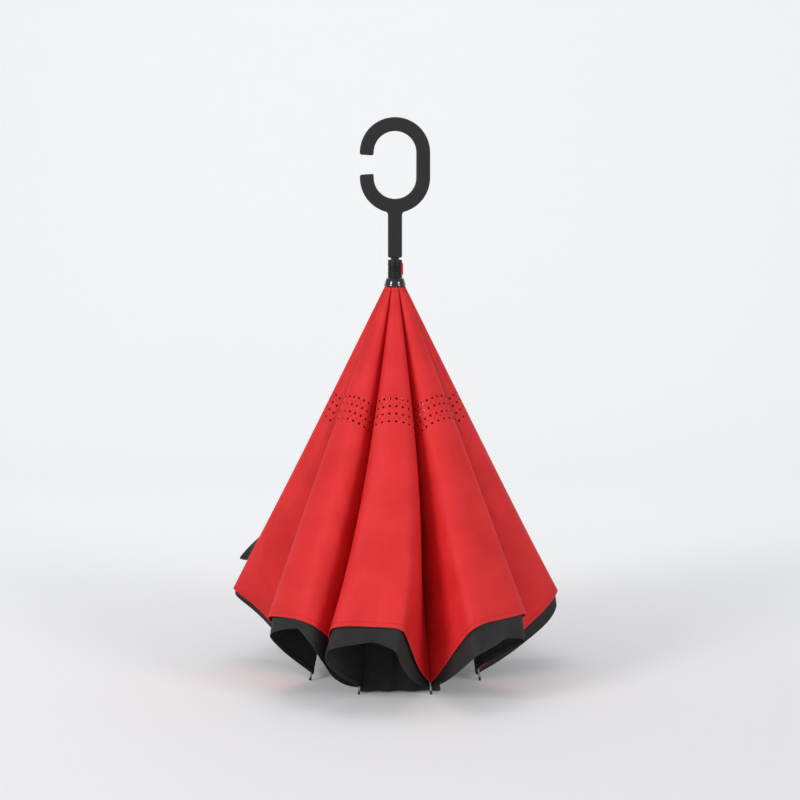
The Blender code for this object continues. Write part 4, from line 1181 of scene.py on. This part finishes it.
# Closing strap: a short black band sewn behind the left gore's ridge, bound with grey tape. Its lower
# end springs away from the cloth.
STRAP_LOW, STRAP_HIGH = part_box("closing_strap")
STRAP_THICKNESS = 0.0012
STRAP_GORE = 4
STRAP_TOP = 0.1905
STRAP_DROP = 0.036
STRAP_LEVEL_START = -0.3
STRAP_LEVEL_END = 0.85
STRAP_POWER = 0.75
STRAP_STAND = 0.0012
STRAP_ROWS = 16
STRAP_COLUMNS = 8
STRAP_ROUNDING = 0.003
STRAP_BINDING = 0.0022
STRAP_SOFT_EDGE = 0.0003
STRAP_WAVES = 330.0
STRAP_WAVE_DEPTH = 0.00015
strap_cloth, strap_tree, strap_shader = new_material("strap webbing")
strap_edges = add_node(strap_tree, "ShaderNodeUVMap", {}, uv_map="edges")
strap_inside = add_node(strap_tree, "ShaderNodeSeparateXYZ", {"Vector": strap_edges.outputs["UV"]}).outputs
near_side = maths(strap_tree, "MINIMUM", strap_inside["X"], strap_inside["Y"])
bound = maths(strap_tree, "LESS_THAN", near_side, STRAP_BINDING)
strap_colour = mix_colours(strap_tree, bound, (0.008, 0.008, 0.0085, 1), (0.035, 0.035, 0.036, 1))
strap_place = add_node(strap_tree, "ShaderNodeTexCoord", {})
strap_ribs = add_node(
    strap_tree, "ShaderNodeTexWave", {"Vector": strap_place.outputs["Object"], "Scale": STRAP_WAVES},
    bands_direction="Z",
)
strap_bump = add_node(
    strap_tree, "ShaderNodeBump", {"Height": strap_ribs.outputs["Fac"], "Distance": STRAP_WAVE_DEPTH}
)
set_inputs(
    strap_tree, strap_shader,
    {"Base Color": strap_colour, "Roughness": 0.7, "Sheen Weight": 0.05, "Specular IOR Level": 0.3,
     "Normal": strap_bump.outputs["Normal"]},
)

strap_width = STRAP_HIGH.y - STRAP_LOW.y
strap_shape = bmesh.new()
bmesh.ops.create_grid(strap_shape, x_segments=STRAP_COLUMNS, y_segments=STRAP_ROWS, size=1)
strap_uv = strap_shape.loops.layers.uv.new("edges")
strap_shape.verts.index_update()
for vertex in strap_shape.verts:
    row, column = divmod(vertex.index, STRAP_COLUMNS + 1)
    drop = row / STRAP_ROWS
    aside = column / STRAP_COLUMNS
    from_end = (1 - drop) * STRAP_DROP
    bend = max(STRAP_ROUNDING - from_end, 0)
    narrow = STRAP_ROUNDING - math.sqrt(max(STRAP_ROUNDING**2 - bend**2, 0))
    width = strap_width - 2 * narrow
    height = STRAP_TOP - STRAP_DROP * drop
    down_cloth = (CLOTH_TOP - height) * math.hypot(1, RIDGE_SLOPE)
    ridge_aside = -GORE_LEANS[STRAP_GORE] * hung_share(down_cloth)
    level = STRAP_LEVEL_START + (STRAP_LEVEL_END - STRAP_LEVEL_START) * drop**STRAP_POWER
    across = narrow + width * aside
    radius = red_ridge(height) + STRAP_STAND + across * math.sin(level)
    vertex.co = (-radius, ridge_aside + across * math.cos(level), height)
    for loop in vertex.link_loops:
        loop[strap_uv].uv = (min(aside, 1 - aside) * width, from_end)
strap = finished(strap_shape, "strap", strap_cloth)
strap_thick = strap.modifiers.new("thickness", "SOLIDIFY")
strap_thick.thickness = STRAP_THICKNESS
strap_thick.offset = 1
strap_soft = strap.modifiers.new("soft edge", "BEVEL")
strap_soft.width = STRAP_SOFT_EDGE
strap_soft.segments = 2
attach(strap, "red_gore_4a")
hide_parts("closing_strap")

# Runner collar: glossy black plastic, flared over the top of the cloth, with a band round its foot.
# The slotted ring under it holds the ribs' eyes on their ring of wire.
COLLAR_LOW, COLLAR_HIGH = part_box("runner_notch")
COLLAR_NECK_RADIUS = 0.0127
COLLAR_FOOT_RADIUS = 0.0157
COLLAR_HEIGHT = 0.0109
COLLAR_BAND = 0.0034
COLLAR_GROOVE = 0.0005
COLLAR_EDGE = 0.0009
NOTCH_RADIUS = 0.0117
NOTCH_SLOT_HALF_WIDTH = 0.0015
KEYWAY_DEPTH = CATCH_HIGH.x + CLEARANCE
gloss_black = grained(
    "gloss black plastic", (0.008, 0.008, 0.0085), (0.02, 0.02, 0.02), (0.14, 0.24), 500.0, 0.000004, coat=0.8
)
collar_bottom = COLLAR_HIGH.z - COLLAR_HEIGHT
band_top = collar_bottom + COLLAR_BAND
band_radius = COLLAR_FOOT_RADIUS - (COLLAR_FOOT_RADIUS - COLLAR_NECK_RADIUS) * COLLAR_BAND / COLLAR_HEIGHT
collar_shape = turned_shape(
    [
        (COLLAR_NECK_RADIUS - COLLAR_EDGE / 2, COLLAR_HIGH.z),
        (COLLAR_NECK_RADIUS, COLLAR_HIGH.z - COLLAR_EDGE),
        (band_radius, band_top + COLLAR_GROOVE),
        (band_radius - COLLAR_GROOVE, band_top),
        (band_radius + COLLAR_GROOVE, band_top - COLLAR_GROOVE),
        (COLLAR_FOOT_RADIUS, collar_bottom + COLLAR_EDGE),
        (COLLAR_FOOT_RADIUS - COLLAR_EDGE / 2, collar_bottom),
        (NOTCH_RADIUS, collar_bottom),
        (NOTCH_RADIUS, COLLAR_LOW.z),
        (SHAFT_RADIUS + CLEARANCE, COLLAR_LOW.z),
        (SHAFT_RADIUS + CLEARANCE, COLLAR_HIGH.z),
    ]
)
round_edges(collar_shape, COLLAR_EDGE / 3, least=math.radians(25))
collar = finished(collar_shape, "runner_collar", gloss_black)
cut_hinge_seats(
    collar, RIB_HINGE.z, COLLAR_LOW.z - COLLAR_EDGE, collar_bottom, NOTCH_SLOT_HALF_WIDTH,
    COLLAR_HIGH.x + COLLAR_EDGE,
)


def cut_keyway(piece, low, high):
    """Cuts the groove in the bore that lets the catch's nose pass."""
    half = CATCH_HIGH.y + CLEARANCE
    cut_box(piece, (0, -half, low), (KEYWAY_DEPTH, half, high))


cut_keyway(collar, COLLAR_LOW.z - COLLAR_EDGE, COLLAR_HIGH.z + COLLAR_EDGE)
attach(collar, "runner")
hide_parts("runner_notch")
coat_node("runner_wire", bright_steel)

# Runner grip: a satin black sleeve with a rim, fine rings to hold it by, and a flat on its right
# side with the window for the button.
GRIP_LOW, GRIP_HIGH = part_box("runner_grip")
GRIP_RADIUS = GRIP_HIGH.y
GRIP_RIM = 0.0022
GRIP_RIM_GROOVE = 0.0003
GRIP_EDGE = 0.0006
GRIP_RING_COUNT = 5
GRIP_RING_PITCH = 0.0018
GRIP_RING_DEPTH = 0.0004
# one ring from its top down: the share of its pitch, and the share of its depth
GRIP_RING = ((0.95, 0), (0.7, 1), (0.5, 1), (0.25, 0))
GRIP_FLAT = 0.0086
BUTTON_LOW, BUTTON_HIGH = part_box("release_button")
BUTTON_GAP = 0.0004
satin_black = grained(
    "satin black plastic", (0.006, 0.006, 0.0065), (0.012, 0.012, 0.012), (0.34, 0.46), 900.0, 0.00001,
    specular=0.3,
)
ring_low = (GRIP_LOW.z + GRIP_HIGH.z - GRIP_RING_COUNT * GRIP_RING_PITCH) / 2
rings = [
    (GRIP_RADIUS - GRIP_RING_DEPTH * deep, ring_low + index * GRIP_RING_PITCH + GRIP_RING_PITCH * share)
    for index in reversed(range(GRIP_RING_COUNT))
    for share, deep in GRIP_RING
]
grip_shape = turned_shape(
    [
        (GRIP_RADIUS, GRIP_HIGH.z),
        (GRIP_RADIUS, GRIP_HIGH.z - GRIP_RIM),
        (GRIP_RADIUS - GRIP_RIM_GROOVE, GRIP_HIGH.z - GRIP_RIM - GRIP_RIM_GROOVE),
        (GRIP_RADIUS, GRIP_HIGH.z - GRIP_RIM - 2 * GRIP_RIM_GROOVE),
        *rings,
        (GRIP_RADIUS, GRIP_LOW.z),
        (SHAFT_RADIUS + CLEARANCE, GRIP_LOW.z),
        (SHAFT_RADIUS + CLEARANCE, GRIP_HIGH.z),
    ]
)
round_edges(grip_shape, GRIP_EDGE, least=math.radians(80))
grip = finished(grip_shape, "grip", satin_black, smooth_angle=math.radians(30))
outside = GRIP_RADIUS + GRIP_RIM
window_low = BUTTON_LOW.z - BUTTON_GAP
window_high = BUTTON_HIGH.z + BUTTON_GAP
cut_box(grip, (GRIP_FLAT, -outside, window_low), (outside, outside, window_high))
cut_box(
    grip, (0, BUTTON_LOW.y - BUTTON_GAP, window_low), (outside, BUTTON_HIGH.y + BUTTON_GAP, window_high)
)
cut_keyway(grip, GRIP_LOW.z - GRIP_EDGE, GRIP_HIGH.z + GRIP_EDGE)
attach(grip, "runner")
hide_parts("runner_grip")

# Release button: red plastic with rounded edges and three fine bars across its face. The spring of
# bent wire behind it pushes it back out.
BUTTON_EDGE = 0.0006
BAR_HEIGHT = 0.0009
BAR_PITCH = 0.0024
BAR_RISE = 0.0002
BAR_DEPTH = 0.001
red_plastic = grained(
    "red plastic", (0.62, 0.018, 0.02), (0.5, 0.03, 0.03), (0.2, 0.34), 700.0, 0.000006, coat=0.4
)
button_shape = bmesh.new()
add_box(button_shape, BUTTON_LOW, (BUTTON_HIGH.x - BAR_RISE, BUTTON_HIGH.y, BUTTON_HIGH.z))
button_middle = (BUTTON_LOW.z + BUTTON_HIGH.z) / 2
for index in (-1, 0, 1):
    height = button_middle + index * BAR_PITCH
    add_box(
        button_shape,
        (BUTTON_HIGH.x - BAR_DEPTH, BUTTON_LOW.y + 2 * BUTTON_EDGE, height - BAR_HEIGHT / 2),
        (BUTTON_HIGH.x, BUTTON_HIGH.y - 2 * BUTTON_EDGE, height + BAR_HEIGHT / 2),
    )
round_edges(button_shape, BUTTON_EDGE / 2)
button = finished(button_shape, "button_cap", red_plastic)
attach(button, "button")
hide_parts("release_button")
coat_node("button_spring", bright_steel)

# Handle: an open hook and its stem, moulded in one piece of black plastic with a soft-touch coat and
# rounded edges. The shaft is pressed into the bore in the stem.
HANDLE_LOW, HANDLE_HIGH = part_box("c_handle")
HOOK_RADIUS = HANDLE_HIGH.x
HOOK_BAND = 0.0195
HOOK_STRAIGHT = 0.035
HOOK_EDGE = 0.0042
MOUTH_GAP = 0.0282
MOUTH_DROP = 0.0028
MOUTH_SLANT = 0.0012
STEM_HALF = 0.01
STEM_FILLET = 0.005
HOOK_STEPS = 40
HOOK_LOWER_STEPS = 18
FILLET_STEPS = 6
BORE_STEPS = 48
HOOK_UPPER = HANDLE_HIGH.z - HOOK_RADIUS
HOOK_LOWER = HOOK_UPPER - HOOK_STRAIGHT
soft_black = grained(
    "soft-touch black plastic", (0.011, 0.011, 0.0115), (0.016, 0.016, 0.016), (0.56, 0.66), 2200.0, 0.00003,
    specular=0.35,
)

inner_radius = HOOK_RADIUS - HOOK_BAND
fillet_x = STEM_HALF + STEM_FILLET
fillet_z = HOOK_LOWER - math.sqrt((HOOK_RADIUS + STEM_FILLET) ** 2 - fillet_x**2)
meet = math.acos(fillet_x / (HOOK_RADIUS + STEM_FILLET))
mouth_top = HOOK_UPPER - MOUTH_DROP
mouth_low = mouth_top - MOUTH_GAP
# The outline of the hook as seen from the front, clockwise from its mouth: lines to points (x, z), and
# arcs about such points, with their angle and their number of steps.
strokes = (
    (-HOOK_RADIUS, HOOK_UPPER),
    (0, HOOK_UPPER, math.pi, HOOK_STEPS),
    (HOOK_RADIUS, HOOK_LOWER),
    (0, HOOK_LOWER, meet, HOOK_LOWER_STEPS),
    (fillet_x, fillet_z, -meet, FILLET_STEPS),
    (STEM_HALF, HANDLE_LOW.z),
    (-STEM_HALF, HANDLE_LOW.z),
    (-STEM_HALF, fillet_z),
    (-fillet_x, fillet_z, -meet, FILLET_STEPS),
    (0, HOOK_LOWER, meet, HOOK_LOWER_STEPS),
    (-HOOK_RADIUS, mouth_low),
    (-inner_radius, mouth_low + MOUTH_SLANT),
    (-inner_radius, HOOK_LOWER),
    (0, HOOK_LOWER, -math.pi, HOOK_STEPS),
    (inner_radius, HOOK_UPPER),
    (0, HOOK_UPPER, -math.pi, HOOK_STEPS),
    (-inner_radius, mouth_top - MOUTH_SLANT),
)
handle_shape = bmesh.new()
start = handle_shape.verts.new((-HOOK_RADIUS, HANDLE_LOW.y, mouth_top))
pen = start
for x, z, *bend in strokes:
    if bend:
        arc = bmesh.ops.spin(
            handle_shape, geom=[pen], cent=(x, 0, z), axis=(0, 1, 0), angle=bend[0], steps=bend[1]
        )
        pen = only(bmesh.types.BMVert, arc["geom_last"])[0]
    else:
        pen = bmesh.ops.extrude_vert_indiv(handle_shape, verts=[pen])["verts"][0]
        pen.co = (x, HANDLE_LOW.y, z)
handle_shape.edges.new((pen, start))
bmesh.ops.remove_doubles(handle_shape, verts=handle_shape.verts, dist=SAME_PLACE)
front = bmesh.ops.contextual_create(handle_shape, geom=handle_shape.edges[:])["faces"]
block = bmesh.ops.extrude_face_region(handle_shape, geom=front)["geom"]
depth = HANDLE_HIGH.y - HANDLE_LOW.y
bmesh.ops.translate(handle_shape, verts=only(bmesh.types.BMVert, block), vec=(0, depth, 0))
bmesh.ops.recalc_face_normals(handle_shape, faces=handle_shape.faces)
round_edges(handle_shape, HOOK_EDGE, segments=7, least=math.radians(50))
handle = finished(handle_shape, "handle", soft_black)
bore = bmesh.new()
bore_low = HANDLE_LOW.z - HOOK_EDGE
add_rod(bore, SHAFT_RADIUS + CLEARANCE, bore_low, SHAFT_HIGH.z + CLEARANCE, BORE_STEPS, Matrix.Identity(4))
cut_away(handle, bore)
even = handle.modifiers.new("even shading", "WEIGHTED_NORMAL")
even.keep_sharp = True
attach(handle, "frame")
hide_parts("c_handle")
